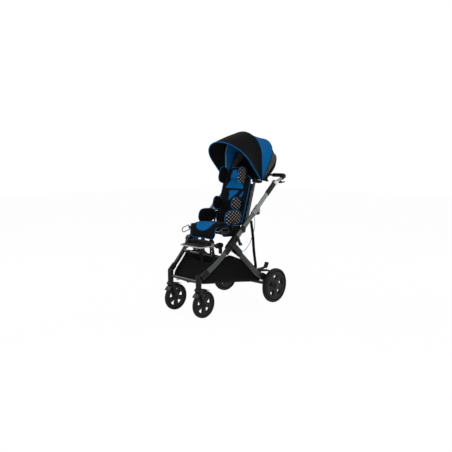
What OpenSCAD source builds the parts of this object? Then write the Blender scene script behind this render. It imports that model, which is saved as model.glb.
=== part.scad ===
// Special needs buggy: a folding A-frame on two casters and two rear wheels, a tilting
// padded seat unit with a reclining back, a fan canopy, a footrest and a storage basket.
// Millimetres. +X is the buggy's own left, -Y its front, +Z up, and the floor is z = 0.

/* [Wheels] */
// Front to rear wheel centres
wheelbase = 735; // [650:5:850]
// Between the front wheel centres
front_track = 332; // [300:2:380]
// Between the rear wheel centres
rear_track = 588; // [584:2:640]
// Front wheel diameter
front_wheel_d = 220; // [180:2:230]
// Front tyre width
front_tyre_w = 38; // [30:1:44]
// Rear wheel diameter
rear_wheel_d = 300; // [280:2:320]
// Rear tyre width
rear_tyre_w = 44; // [36:1:50]
// Caster swivel axis ahead of the front wheel centre
caster_trail = 52; // [40:1:60]
// Wheel axle diameter
axle_d = 12; // [10:0.5:14]

/* [Frame] */
// Between the side tube centres
frame_w = 494; // [480:2:500]
// Knuckle pivot ahead of the middle of the wheelbase
knuckle_ahead = 131; // [110:1:150]
// Knuckle pivot height
knuckle_z = 563; // [540:1:590]
// Climb of the side tubes towards the handle, degrees
tube_angle = 41.3; // [38:0.1:45]
// Side tube section, tall way
tube_tall = 42; // [36:1:46]
// Side tube section, thickness
tube_thick = 24; // [20:1:26]
// Wall of the frame tubes
tube_wall = 2; // [1.5:0.1:3]
// Slope of the front tube where it leaves the knuckle, degrees
front_tube_steep = 46; // [43:0.5:48]
// Slope of the front tube where it enters the caster housing, degrees
front_tube_flat = 33; // [31:0.5:36]
// Bend radius of the front tube
front_tube_bend = 1525; // [1450:5:1600]
// Inward turn of the front tubes, degrees
front_toe = 12.4; // [11:0.1:14]
// Cross tube diameter
cross_tube_d = 24; // [20:1:26]
// Height of the front cross tube
front_cross_z = 297; // [280:1:310]

/* [Rear legs] */
// Rear leg section, tall way
leg_tall = 48; // [42:1:50]
// Rear leg section, thickness
leg_thick = 26; // [22:1:28]
// Slope of the upper rear leg, degrees
leg_steep = 42; // [41:0.5:43]
// Slope of the lower rear leg, degrees
leg_flat = 30; // [29:0.5:32]
// Length of the upper straight of the rear leg
leg_upper_len = 305; // [300:1:310]
// Length of the lower straight of the rear leg
leg_lower_len = 95; // [90:1:100]
// Bend radius of the rear leg
leg_bend = 260; // [240:5:280]
// Rear axle tube diameter
axle_tube_d = 28; // [24:1:32]
// Brake shaft diameter
brake_shaft_d = 12; // [10:0.5:14]

/* [Handle] */
// Knuckle to the handle fold joint, along the tube
fold_at = 388; // [370:1:400]
// Knuckle to the top of the black sleeve, along the tube
sleeve_top_at = 703; // [690:1:715]
// Length of the black sleeve
sleeve_len = 122; // [100:1:130]
// Knuckle to the handle angle joint, along the tube
handle_joint_at = 728; // [722:1:740]
// Climb of the handle arms at rest, degrees
arm_angle = 19.3; // [10:0.1:30]
// Angle joint to the middle of the crossbar
arm_len = 166; // [150:1:180]
// Handle bar diameter
bar_d = 22; // [20:0.5:25]
// Handle corner bend radius
bar_bend = 45; // [40:1:55]
// Foam grip diameter
grip_d = 34; // [30:1:36]
// Length of foam along the crossbar from each corner
grip_len = 100; // [70:1:130]

/* [Seat] */
// Height of the seat rail centres at the middle of the wheelbase
seat_z = 640; // [630:1:650]
// Front of the seat raised by, degrees
seat_pitch = 3.6; // [2:0.1:5]
// Between the seat rail centres
rail_w = 330; // [326:1:334]
// Seat rail diameter
rail_d = 22; // [20:0.5:24]
// Seat cushion width
cushion_w = 306; // [280:2:312]
// Seat cushion front edge ahead of the middle of the wheelbase
cushion_front = 226; // [215:1:230]
// Seat cushion back edge behind the middle of the wheelbase
cushion_rear = 52; // [45:1:54]
// Seat cushion thickness
cushion_thick = 58; // [48:1:62]
// Roll-down of the cushion's front lip
cushion_lip = 80; // [60:1:84]
// Hip pad length, height and thickness
hip_pad = [197, 126, 28];

/* [Backrest] */
// Back leans from upright by, degrees
back_lean = 17; // [14:0.5:20]
// Back cushion width
back_w = 338; // [320:2:344]
// Back cushion height
back_h = 462; // [450:2:470]
// Back cushion thickness
back_thick = 36; // [30:1:38]
// Back cane diameter
cane_d = 22; // [18:0.5:24]
// Trunk pad reach, height and thickness
trunk_pad = [118, 112, 28];
// Head pad reach, height and thickness
head_pad = [109, 146, 26];

/* [Canopy] */
// Canopy pivot up the back
canopy_pivot_up = 442; // [430:1:446]
// Canopy pivot behind the back line
canopy_pivot_behind = 79; // [74:1:84]
// Canopy width over the cloth
canopy_w = 430; // [424:1:432]
// Lean of front, middle, rear bow and rear hem from upright, degrees
canopy_leans = [-43, -2, 31, 50];
// Reach of front, middle, rear bow and rear hem from the pivot
canopy_reaches = [452, 425, 436, 400];
// Bow wire diameter
bow_d = 6; // [5:0.5:7]
// Cloth thickness
cloth = 2.5; // [2:0.1:3]

/* [Footrest] */
// Foot tray width
tray_w = 256; // [230:2:270]
// Foot tray length
tray_len = 165; // [140:1:175]
// Foot tray thickness
tray_thick = 8; // [6:0.5:10]
// Height of the foot tray hinge
tray_z = 550; // [546:1:552]
// Wall height of the heel cup
cup_h = 44; // [30:1:46]
// Footrest hanger bar width
hanger_w = 34; // [28:1:38]

/* [Fits] */
// Radial running clearance of pins and sliders
running = 0.05; // [0.02:0.01:0.1]
// Gap between pieces that move past each other
gap = 1; // [0.6:0.1:1.5]

/* [Hidden] */
$fn = 48;

// main stations
front_y = -wheelbase / 2;
rear_y = wheelbase / 2;
front_r = front_wheel_d / 2;
rear_r = rear_wheel_d / 2;
front_x = front_track / 2;
rear_x = rear_track / 2;
side_x = frame_w / 2;
swivel_y = front_y - caster_trail;
knuckle = [-knuckle_ahead, knuckle_z];

// side view points are [y, z]; tube stations run from the knuckle along and square to the tube
function on_tube(s, n = 0) = knuckle
    + s * [cos(tube_angle), sin(tube_angle)]
    + n * [-sin(tube_angle), cos(tube_angle)];
function on_leg(s, n = 0) = knuckle
    + s * [cos(leg_steep), -sin(leg_steep)]
    + n * [sin(leg_steep), cos(leg_steep)];

// the knuckle stack, side to side: core, ears of the rear leg, lock plate
core_half = tube_thick / 2 + 4;
ear_in = core_half + gap;
ear_thick = 7;
ear_out = ear_in + ear_thick;
ear_r = 30;
socket_from = 34;
socket_to = 86;
knuckle_pin_d = 12;
knob_at = [52, -43];
knob_stem_d = 8;

// front tube, in its own turned plane: the angle is the slope at each station
front_tube_in = 1.5;
front_drop = front_tube_bend * (cos(front_tube_flat) - cos(front_tube_steep));
front_run = front_tube_bend * (sin(front_tube_steep) - sin(front_tube_flat));
upper_cross_slope = 41;
upper_cross_run = front_tube_bend * (sin(front_tube_steep) - sin(upper_cross_slope));
upper_cross_drop = front_tube_bend * (cos(upper_cross_slope) - cos(front_tube_steep));
upper_cross_y = knuckle[0] - upper_cross_run * cos(front_toe);
upper_cross_z = knuckle[1] - upper_cross_drop;
upper_cross_x = side_x - upper_cross_run * sin(front_toe);

// caster housing, fork and their stem
housing_r = 23;
housing_top = 338;
stem_d = 16;
fork_top = front_wheel_d + 18;
housing_bottom = fork_top + 6 + gap;
fork_gap = front_tyre_w / 2 + 4;
fork_plate = 6;
fork_out = fork_gap + fork_plate;
fender_in = front_r + 5;
fender_out = fender_in + 4;
fender_from = 158;
fender_span = 76;

// tyres and rims
front_tyre_deep = 22;
rear_tyre_deep = 26;
front_rim_r = front_r - front_tyre_deep;
rear_rim_r = rear_r - rear_tyre_deep;
spokes = 5;

// rear leg stations
leg_from = 76;
clevis_to = 128;
leg_bend_at = on_leg(leg_from + leg_upper_len);
leg_lower_at = leg_bend_at + leg_bend * [sin(leg_steep) - sin(leg_flat), cos(leg_steep) - cos(leg_flat)];
leg_end = leg_lower_at + leg_lower_len * [cos(leg_flat), -sin(leg_flat)];
axle = [rear_y, rear_r];
bracket_half = leg_thick / 2 + 6;

// brake: shaft above the rear leg, shoes in front of the tyres
brake_up = 14;
brake_eye_r = 12;
brake_eye_half = 8;
brake_at = leg_lower_at + 16 * [cos(leg_flat), -sin(leg_flat)]
    + (leg_tall / 2 + brake_up) * [sin(leg_flat), cos(leg_flat)];
shoe_d = 16;
shoe_clear = 8;
shoe_at = axle + (rear_r + shoe_clear + shoe_d / 2) * [-sin(30), cos(30)];
brake_arm_in = bracket_half + gap;
brake_arm_thick = 5;
pedal_bend = brake_at + [91, 10];
pedal_tip = brake_at + [108, 43];

// limit strap from the side tube to the rear leg
strap_w = 30;
strap_thick = 2.5;
strap_top = [103, 738];
strap_foot = [166, 352];
buckle_foot = leg_bend_at + [10, leg_tall / 2 + 5.8];

// handle fold joint: the pin lies under the tube, so that the posts swing back and down
fold_pin = on_tube(fold_at, -34);
fold_pin_d = 10;
fold_lug_r = 13;
fold_lug_half = 7;
fold_case = 46;
post_from = fold_at + 4;
slider_in = 150;
slider_out = 5;
post_bore_wall = 2;
handle_joint = on_tube(handle_joint_at);
joint_lug_r = 19;
joint_lug_half = 9;
bar_at = handle_joint + arm_len * [cos(arm_angle), sin(arm_angle)];
trigger_along = 78;
trigger_at = handle_joint + trigger_along * [cos(arm_angle), sin(arm_angle)]
    + (bar_d / 2 + 10) * [sin(arm_angle), -cos(arm_angle)];
trigger_pin_d = 6;

// seat docks on the side tubes carry the tilt pins
dock_in = 51;
dock_out = 28;
dock_tall = 44;
dock_below = 17;
dock_from = -20;
dock_to = 172;
tilt_along = 120;
tilt_pin = on_tube(tilt_along, -dock_below);
tilt_pin_d = 16;

// seat and back frames of reference
rail_x = rail_w / 2;
rail_front = -172;
front_bar = rail_front + 8;
rail_rear = 66;
function to_seat(p) = [
    p[0] * cos(seat_pitch) - (p[1] - seat_z) * sin(seat_pitch),
    p[0] * sin(seat_pitch) + (p[1] - seat_z) * cos(seat_pitch)];
function from_seat(p) = [
    p[0] * cos(seat_pitch) + p[1] * sin(seat_pitch),
    seat_z - p[0] * sin(seat_pitch) + p[1] * cos(seat_pitch)];
recline_pin = [92, 648];
recline_pin_d = 10;
back_at = [75, 650];
function to_back(p) = [
    (p[0] - back_at[0]) * cos(back_lean) - (p[1] - back_at[1]) * sin(back_lean),
    (p[0] - back_at[0]) * sin(back_lean) + (p[1] - back_at[1]) * cos(back_lean)];
function from_back(behind, up) = back_at
    + behind * [cos(back_lean), -sin(back_lean)]
    + up * [sin(back_lean), cos(back_lean)];
bar_cross_d = 18;
plate_in = rail_x + 5;
plate_out = rail_x + 19;
pan_thick = 6;
pan_bottom = rail_d / 2;
pan_top = pan_bottom + pan_thick;
cane_behind = 42;
cane_top = 460;
shell_thick = 6;
shell_behind = cane_behind - cane_d / 2;
back_from = 25;
back_face = shell_behind - shell_thick - back_thick;
shell_from = back_from + 22;
shell_h = 363;
head_from = 425;
head_h = 110;
head_w = 196;
head_thick = 26;
head_plate = 5;
head_plate_at = back_face - gap - head_plate;
wing_x = 109.6;
wing_up = 455;
slide_bar_w = 44;
slide_bar_thick = 5;

// canopy pivot and stack of bow eyes, from inside to outside: front, middle, rear
canopy_pivot = from_back(canopy_pivot_behind, canopy_pivot_up);
eye_thick = 5;
eye_pitch = eye_thick + gap;
canopy_pin_d = 10;
// bend in the canes, and the heights, place and size of the bars between them
cane_knee = 44;
back_bars = [96, 380];
back_bar_behind = 2.6;
back_bar_d = 15;
eye_from = canopy_w / 2 - cloth - 2 - 3 * eye_pitch;
canopy_hem = 14;
// curtain at the canopy's rear: near end of its hem, how far the hem runs back and up, and the bulge above it
curtain_hem = [canopy_pivot[0] + 62.8, canopy_pivot[1] + 1.4];
curtain_deep = 58;
curtain_lift = 12;
curtain_bulge = 20;

// footrest
hanger_x = 50;
hanger_thick = 8;
hanger_at = from_seat([front_bar, 0]);
hanger_y = hanger_at[0];
hanger_bottom = 446;
tray_at = [hanger_y - 14, tray_z];
tray_tube_d = 18;
tray_eye_r = 14;
block_in = 138;
block_out = 168;

// tie loops on the seat front
loop_at = [-188, 672];
loop_pin_d = 8;
loop_wire = 7;
loop_len = 62;
loop_half = 20;

// storage basket outline, walls 4 thick
basket_half = 206;
basket_wall = 4;
basket_front_low = [-392, 278];
basket_front_high = [upper_cross_y + 6, upper_cross_z - cross_tube_d / 2 - 3];
basket_side_high = [-104, 462];
basket_side_mid = [106, 383];
basket_rear_high = [296, 232];
basket_rear_low = [296, 170];

// cable route, left side: from the fold joint down behind the seat to the dock
tilt_cable_route = [
    [235.6, 152, 778], [229, 172, 720], [222, 176, 660], [216, 156, 600],
    [212, 128, 541], [210, 80, 496], [208, 20, 478], [207, -50, 482], [208, -123.7, 516.2]];
cable_d = 5;

// origin under the middle of the overall box
front_most = front_y - front_r;
rear_most = bar_at[0] + grip_d / 2;
centre_y = (front_most + rear_most) / 2;

// Oval tube section, tall along Y
module oval(tall, thick) {
    square([thick, tall - thick], center = true);
    for (e = [-1, 1])
        translate([0, e * (tall - thick) / 2])
            circle(d = thick);
}

module oval_ring(tall, thick, wall) {
    difference() {
        oval(tall, thick);
        oval(tall - 2 * wall, thick - 2 * wall);
    }
}

// Straight run in the side plane from [y, z], climbing at an angle
module run(from, angle, length) {
    translate([0, from[0], from[1]])
        rotate([angle - 90, 0, 0])
            linear_extrude(height = length)
                children();
}

// Bend about an axis along X; the angle is counted from straight down towards the rear
module bend(centre, radius, from, to) {
    translate([0, centre[0], centre[1]])
        rotate([0, 90, 0])
            rotate([0, 0, from])
                rotate_extrude(angle = to - from)
                    translate([radius, 0])
                        rotate(90)
                            children();
}

// Side view shape given thickness from x0 to x1
module side_plate(x0, x1) {
    translate([x0, 0, 0])
        rotate([90, 0, 90])
            linear_extrude(height = x1 - x0)
                children();
}

// Bar between two side view points with a round eye at each end, a little wider than the bar
eye_proud = 0.6;
module link(a, b, width) {
    reach = norm(b - a);
    translate(a)
        rotate(atan2(b[1] - a[1], b[0] - a[0]))
            translate([0, eye_proud - width / 2])
                square([reach, width - 2 * eye_proud]);
    translate(a)
        circle(d = width);
    translate(b)
        circle(d = width);
}

module pin_x(at, d, x0, x1) {
    translate([x0, at[0], at[1]])
        rotate([0, 90, 0])
            cylinder(d = d, h = x1 - x0);
}

module rod(a, b, d) {
    reach = norm(b - a);
    translate(a)
        rotate([0, acos((b[2] - a[2]) / reach), atan2(b[1] - a[1], b[0] - a[0])])
            cylinder(d = d, h = reach);
}

module both_sides() {
    children();
    mirror([1, 0, 0])
        children();
}

module on_side() {
    translate([side_x, 0, 0])
        children();
}

// Frames of reference of the seat and the back
module on_seat() {
    translate([0, 0, seat_z])
        rotate([-seat_pitch, 0, 0])
            children();
}

module on_back() {
    translate([0, back_at[0], back_at[1]])
        rotate([-back_lean, 0, 0])
            children();
}

// Cushion: superellipse outline with drawn-in sides, crowned faces, raised sides and a rolled front lip
function spread(v, p) = sign(v) * pow(abs(v), p);
function cushion_rim(size, squareness, draw, taper, turn) = let (
    u = spread(cos(turn), 2 / squareness),
    v = spread(sin(turn), 2 / squareness))
    [size[0] / 2 * u * (1 - draw * (1 - v * v)) * (1 + taper * v),
     size[1] / 2 * v * (1 - draw * (1 - u * u))];
lip_from = 0.72;
function cushion_form(p, size, side_rise, lip) = let (
    lip_share = max(0, -2 * p[1] / size[1] - lip_from) / (1 - lip_from))
    [p[0], p[1], p[2] + side_rise * pow(abs(2 * p[0] / size[0]), 4) - lip * lip_share * lip_share];
function cushion_points(size, squareness, draw, taper, side_rise, lip, rings, sides) = concat(
    [cushion_form([0, 0, size[2] / 2], size, side_rise, lip)],
    [for (i = [1 : rings - 1], k = [0 : sides - 1]) let (
        rim = cushion_rim(size, squareness, draw, taper, 360 * k / sides),
        share = sqrt(sin(180 * i / rings)))
        cushion_form([share * rim[0], share * rim[1], size[2] / 2 * cos(180 * i / rings)],
            size, side_rise, lip)],
    [cushion_form([0, 0, -size[2] / 2], size, side_rise, lip)]);
function cushion_faces(rings, sides) = let (last = 1 + (rings - 1) * sides) concat(
    [for (k = [0 : sides - 1]) [0, 1 + (k + 1) % sides, 1 + k]],
    [for (i = [0 : rings - 3], k = [0 : sides - 1]) let (a = 1 + i * sides)
        [a + k, a + (k + 1) % sides, a + sides + (k + 1) % sides]],
    [for (i = [0 : rings - 3], k = [0 : sides - 1]) let (a = 1 + i * sides)
        [a + k, a + sides + (k + 1) % sides, a + sides + k]],
    [for (k = [0 : sides - 1]) [last, last - sides + k, last - sides + (k + 1) % sides]]);
module cushion(size, squareness = 4, draw = 0.03, taper = 0, side_rise = 0, lip = 0, rings = 12, sides = 36) {
    polyhedron(
        points = cushion_points(size, squareness, draw, taper, side_rise, lip, rings, sides),
        faces = cushion_faces(rings, sides));
}

// Cord: smooth curve through its route, swept with a many-sided section
function route_point(r, i) = r[max(0, min(len(r) - 1, i))];
function curve_point(r, i, t) = let (
    a = route_point(r, i - 1),
    b = route_point(r, i),
    c = route_point(r, i + 1),
    d = route_point(r, i + 2))
    b + t / 2 * (c - a) + t * t / 2 * (2 * a - 5 * b + 4 * c - d)
        + t * t * t / 2 * (3 * b - a - 3 * c + d);
function curve(r, steps) = concat(
    [for (i = [0 : len(r) - 2], k = [0 : steps - 1]) curve_point(r, i, k / steps)],
    [r[len(r) - 1]]);
function unit(v) = v / norm(v);
module cord(route, d, steps = 4, sides = 8, across = [0, 1, 0.35]) {
    path = curve(route, steps);
    last = len(path) - 1;
    points = [for (i = [0 : last], k = [0 : sides - 1]) let (
        ahead = unit(path[min(last, i + 1)] - path[max(0, i - 1)]),
        u = unit(cross(ahead, across)),
        w = cross(ahead, u))
        path[i] + d / 2 * (cos(360 * k / sides) * u + sin(360 * k / sides) * w)];
    walls = [for (i = [0 : last - 1], k = [0 : sides - 1], half = [0, 1]) let (
        a = i * sides + k,
        b = i * sides + (k + 1) % sides)
        half == 0 ? [a, a + sides, b + sides] : [a, b + sides, b]];
    caps = [for (k = [1 : sides - 2], end = [0, 1]) end == 0 ? [0, k, k + 1]
        : [last * sides, last * sides + k + 1, last * sides + k]];
    polyhedron(points = points, faces = concat(walls, caps));
}

// Canopy bow in its own plane: two straight legs and a half circle; t runs from one pivot to the other
function bow_point(half, reach, from, t) = let (
    leg = reach - half - from,
    whole = 2 * leg + PI * half,
    s = t * whole)
    s < leg ? [half, from + s]
    : s > whole - leg ? [-half, from + whole - s]
    : let (turn = (s - leg) / half * 180 / PI) [half * cos(turn), reach - half + half * sin(turn)];
function bow_place(p, lean) = [p[0], canopy_pivot[0] + p[1] * sin(lean), canopy_pivot[1] + p[1] * cos(lean)];

// Point of the cloth between two bows, which sags a little between them; skin is its depth in the cloth
function panel_point(first, sag, v, t, skin) = let (
    lean = canopy_leans[first] + (canopy_leans[first + 1] - canopy_leans[first]) * v,
    reach = canopy_reaches[first] + (canopy_reaches[first + 1] - canopy_reaches[first]) * v - sag * 4 * v * (1 - v))
    bow_place(bow_point(canopy_w / 2 - skin, reach - skin, canopy_hem, t), lean);

// Point of the curtain that closes the canopy's rear, from the last bow line down to a level hem
function curtain_point(sag, v, t, skin) = let (
    top = panel_point(2, sag, 1, t, skin),
    c = cos(180 * t),
    s = sin(180 * t),
    hem = [(canopy_w / 2 - skin) * sign(c) * pow(abs(c), 0.6),
        curtain_hem[0] + (curtain_deep - skin) * pow(s, 0.6), curtain_hem[1] + curtain_lift * s])
    top + (hem - top) * v + [0, curtain_bulge * 4 * v * (1 - v) * sqrt(s), 0];

// Thin cloth shell from two layers of points, with rows across and columns along
module cloth_shell(points, across, along) {
    row = along + 1;
    sheet = row * (across + 1);
    skins = [for (i = [0 : across - 1], k = [0 : along - 1], half = [0, 1], layer = [0, 1]) let (
        a = layer * sheet + i * row + k,
        b = a + row,
        tri = half == 0 ? [a, b, b + 1] : [a, b + 1, a + 1])
        layer == 0 ? tri : [tri[0], tri[2], tri[1]]];
    hems = [for (k = [0 : along - 1], half = [0, 1], end = [0, 1]) let (
        a = end * across * row + k,
        tri = half == 0 ? [a, a + 1, a + 1 + sheet] : [a, a + 1 + sheet, a + sheet])
        end == 0 ? tri : [tri[0], tri[2], tri[1]]];
    ends = [for (i = [0 : across - 1], half = [0, 1], end = [0, 1]) let (
        a = i * row + end * along,
        tri = half == 0 ? [a, a + sheet, a + row + sheet] : [a, a + row + sheet, a + row])
        end == 0 ? tri : [tri[0], tri[2], tri[1]]];
    polyhedron(points = points, faces = concat(skins, hems, ends));
}

// Cloth panel between two bows
module canopy_panel(first, sag, across = 6, along = 26) {
    cloth_shell([for (layer = [0, 1], i = [0 : across], k = [0 : along])
        panel_point(first, sag, i / across, k / along, layer * cloth)], across, along);
}

// Rear panel and the curtain below it, as one cloth
module canopy_rear_cloth(sag, across = 6, along = 26) {
    cloth_shell([for (layer = [0, 1], i = [0 : 2 * across], k = [0 : along])
        i <= across ? panel_point(2, sag, i / across, k / along, layer * cloth)
        : curtain_point(sag, i / across - 1, k / along, layer * cloth)], 2 * across, along);
}

// Tyre with round shoulders, axis along X through the origin
module tyre(radius, deep, width) {
    rotate([0, 90, 0])
        rotate_extrude()
            translate([radius - deep / 2, 0])
                oval(width, deep);
}

// Moulded rim: outer ring, spokes, hub and bore
module rim(radius, width, ring, spoke_w, spoke_thick, hub_r, hub_w, bore) {
    rotate([0, 90, 0])
        difference() {
            union() {
                difference() {
                    cylinder(r = radius, h = width, center = true);
                    cylinder(r = radius - ring, h = width + 2, center = true);
                }
                cylinder(r = hub_r, h = hub_w, center = true);
                for (k = [0 : spokes - 1])
                    rotate(360 * k / spokes)
                        translate([0, -spoke_w / 2, -spoke_thick / 2])
                            cube([radius - ring / 2, spoke_w, spoke_thick]);
            }
            cylinder(r = bore, h = hub_w + 2, center = true);
        }
}

// Side tube from the knuckle socket to the handle fold joint
module main_tube() {
    run(on_tube(socket_from + 6), tube_angle, fold_at - fold_case - socket_from - 6 + 40)
        oval_ring(tube_tall, tube_thick, tube_wall);
}

module front_tube_void() {
    front_tube_path()
        oval(tube_tall, tube_thick);
}

module front_tube_path() {
    translate([side_x, knuckle[0], knuckle[1]])
        rotate([0, 0, -front_toe])
            bend(front_tube_bend * [-sin(front_tube_steep), cos(front_tube_steep)], front_tube_bend,
                front_tube_flat, front_tube_steep - front_tube_in)
                children();
}

module front_tube() {
    front_tube_path()
        oval_ring(tube_tall, tube_thick, tube_wall);
}

// Knuckle: pivot core, sockets for both tubes and the outer plate of the fold lock
module knuckle_block() {
    difference() {
        union() {
            on_side() {
                pin_x(knuckle, 2 * ear_r, -core_half, core_half);
                run(on_tube(0), tube_angle, socket_to)
                    oval(tube_tall + 10, 2 * core_half - 1);
                run(knuckle, 180 + front_tube_steep, socket_from + 8)
                    square([2 * core_half - 3, tube_tall - 4], center = true);
                pin_x(on_tube(socket_to - 20, 8), 24, 0, ear_out + gap + 1);
                side_plate(ear_out + gap, ear_out + gap + 6)
                    link(on_tube(socket_to - 20, 8), on_tube(knob_at[0], knob_at[1]), 28);
            }
            translate([side_x, knuckle[0], knuckle[1]])
                rotate([0, 0, -front_toe])
                    run(socket_from * [-cos(front_tube_steep), -sin(front_tube_steep)],
                        180 + front_tube_steep, socket_to - socket_from)
                        oval(tube_tall + 10, 2 * core_half - 1);
        }
        // room for the ears of the rear leg
        on_side()
            for (e = [-1, 1])
                pin_x(knuckle, 2 * (ear_r + gap), e > 0 ? core_half + 0.4 : -ear_out - 40,
                    e > 0 ? ear_out + gap - 0.01 : -core_half - 0.4);
        on_side()
            run(on_tube(socket_from + 6), tube_angle, socket_to)
                oval(tube_tall, tube_thick);
        front_tube_void();
        on_side()
            pin_x(knuckle, knuckle_pin_d, -60, 60);
        on_side()
            pin_x(on_tube(knob_at[0], knob_at[1]), knob_stem_d + 2 * running, ear_out, ear_out + 20);
    }
}

// Caster housing: upright boss for the stem, socket for the front tube and seat for the cross tube
module caster_housing() {
    end_x = side_x - front_run * sin(front_toe);
    end_y = knuckle[0] - front_run * cos(front_toe);
    difference() {
        union() {
            translate([front_x, swivel_y, housing_bottom])
                cylinder(r = housing_r, h = housing_top - housing_bottom);
            translate([front_x, swivel_y, housing_top])
                intersection() {
                    sphere(r = housing_r);
                    translate([-housing_r, -housing_r, -1])
                        cube([2 * housing_r, 2 * housing_r, 12]);
                }
            translate([end_x, end_y, knuckle[1] - front_drop])
                rotate([0, 0, -front_toe])
                    translate([0, 50 * cos(front_tube_flat), 50 * sin(front_tube_flat)])
                        run([0, 0], 180 + front_tube_flat, 72)
                            oval(tube_tall + 8, tube_thick + 8);
        }
        translate([front_x, swivel_y, housing_bottom - 1])
            cylinder(d = stem_d + 2 * running, h = housing_top - housing_bottom - 8);
        front_tube_void();
        cross_tube_solid(swivel_y, front_cross_z, front_x - 12);
    }
}

module cross_tube_solid(y, z, half) {
    pin_x([y, z], cross_tube_d, -half, half);
}

// Cross tubes between the caster housings and between the front tubes, with welded tie-down eyes
module cross_tubes() {
    difference() {
        cross_tube_solid(swivel_y, front_cross_z, front_x - 12);
        pin_x([swivel_y, front_cross_z], cross_tube_d - 2 * tube_wall, -front_x, front_x);
    }
    for (e = [-1, 1])
        translate([e * 62, swivel_y - cross_tube_d / 2 + 1, front_cross_z - 4])
            rotate([62, 0, 0])
                rotate_extrude(angle = -180)
                    translate([14, 0])
                        circle(d = 6);
    // the upper one is coped to the front tubes
    difference() {
        cross_tube_solid(upper_cross_y, upper_cross_z, upper_cross_x);
        pin_x([upper_cross_y, upper_cross_z], cross_tube_d - 2 * tube_wall, -side_x, side_x);
        both_sides()
            front_tube_void();
    }
}

// Seat dock: plate with the tilt bore, held to the side tube by a clamp ring
module seat_dock() {
    difference() {
        on_side()
            union() {
                side_plate(-dock_in, -dock_out)
                    link(on_tube(dock_from, -dock_below), on_tube(dock_to, -dock_below), dock_tall);
                run(on_tube(dock_to - 20), tube_angle, 40)
                    oval(tube_tall + 10, tube_thick + 12);
                run(on_tube(dock_to - 14), tube_angle, 28)
                    translate([-dock_out - 3, -7])
                        square([dock_out - tube_thick / 2 + 1, 26]);
            }
        on_side()
            run(on_tube(dock_to - 30), tube_angle, 60)
                oval(tube_tall, tube_thick);
        on_side()
            pin_x(tilt_pin, tilt_pin_d + 2 * running, -dock_in - 1, -dock_out + 1);
    }
}

// Lower half of the handle fold joint, fixed to the top of the side tube
module hinge_base() {
    on_side()
        difference() {
            union() {
                run(on_tube(fold_at - fold_case), tube_angle, fold_case - 2)
                    oval(tube_tall + 10, tube_thick + 10);
                side_plate(-fold_lug_half, fold_lug_half)
                    link(fold_pin, on_tube(fold_at - 22, -20), 2 * fold_lug_r);
            }
            run(on_tube(fold_at - fold_case - 1), tube_angle, 41)
                oval(tube_tall, tube_thick);
            pin_x(fold_pin, fold_pin_d, -40, 40);
            for (x = [-30, fold_lug_half])
                pin_x(fold_pin, 2 * (fold_lug_r + gap), x, x + 30 - fold_lug_half);
            run(on_tube(fold_at - 1, 0), tube_angle, 40)
                square([60, 120], center = true);
        }
}

// Pivot pins with flat heads: knuckles and handle fold joints
module pivot_pins() {
    both_sides()
        on_side() {
            pin_x(knuckle, knuckle_pin_d, -ear_out - gap, ear_out + gap);
            pin_x(knuckle, 20, ear_out + gap, ear_out + gap + 4);
            pin_x(knuckle, 20, -ear_out - gap - 2, -ear_out - gap);
            pin_x(fold_pin, fold_pin_d, -18, 18);
            pin_x(fold_pin, 16, 18, 21);
            pin_x(fold_pin, 16, -21, -18);
        }
}

// Basket: floor, front and rear as one folded band, with a side panel at each end
module storage_basket() {
    inset = basket_wall;
    band = [basket_front_high, basket_front_low, basket_rear_low, basket_rear_high,
        basket_rear_high + [-inset, 0], basket_rear_low + [-inset, inset],
        basket_front_low + [inset * 1.6, inset], basket_front_high + [inset * 1.4, 0]];
    side_plate(-basket_half, basket_half)
        polygon(band);
    both_sides()
        side_plate(basket_half - basket_wall, basket_half)
            polygon([basket_front_high, basket_front_low, basket_rear_low, basket_rear_high,
                basket_side_mid, basket_side_high]);
    // hem loops that hang the front panel on the upper cross tube
    difference() {
        for (x = [-150, 0, 150])
            translate([x - 18, 0, 0])
                side_plate(0, 36)
                    union() {
                        translate([upper_cross_y, upper_cross_z])
                            circle(d = cross_tube_d + 6);
                        link(basket_front_high + [2, -1], [upper_cross_y + 2, upper_cross_z - 8], 4);
                    }
        cross_tube_solid(upper_cross_y, upper_cross_z, side_x);
    }
}

module tilt_cable() {
    cord(tilt_cable_route, cable_d, across = [1, 0.2, 0.1]);
}

module fold_knob() {
    on_side() {
        pin_x(on_tube(knob_at[0], knob_at[1]), knob_stem_d, ear_out + gap - 0.5, ear_out + gap + 10);
        pin_x(on_tube(knob_at[0], knob_at[1]), 23, ear_out + gap + 7, ear_out + gap + 20);
    }
}

// Rear leg line: two straights run 3 mm into a bend that is formed half a millimetre fatter
module leg_path() {
    run(on_leg(leg_from), -leg_steep, leg_upper_len + 3)
        oval(leg_tall, leg_thick);
    bend(leg_bend_at + leg_bend * [sin(leg_steep), cos(leg_steep)], leg_bend, -leg_steep, -leg_flat)
        oval(leg_tall + 1, leg_thick + 1);
    run(leg_lower_at - 3 * [cos(leg_flat), -sin(leg_flat)], -leg_flat, leg_lower_len + 3)
        oval(leg_tall, leg_thick);
}

// Rear leg with the eye that carries the brake shaft
module rear_leg() {
    on_side()
        difference() {
            union() {
                leg_path();
                side_plate(-brake_eye_half, brake_eye_half)
                    translate(brake_at) {
                        circle(r = brake_eye_r);
                        rotate(-leg_flat)
                            translate([-brake_eye_r + 2, -brake_up - 3.2])
                                square([2 * brake_eye_r - 4, brake_up + 3.2]);
                    }
            }
            pin_x(brake_at, brake_shaft_d + 2 * running, -20, 20);
            // both straights are hollow, the bend between them is solid
            run(on_leg(leg_from - 1), -leg_steep, leg_upper_len - 5)
                oval(leg_tall - 2 * tube_wall, leg_thick - 2 * tube_wall);
            run(leg_lower_at + 44 * [cos(leg_flat), -sin(leg_flat)], -leg_flat, leg_lower_len)
                oval(leg_tall - 2 * tube_wall, leg_thick - 2 * tube_wall);
        }
}

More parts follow.
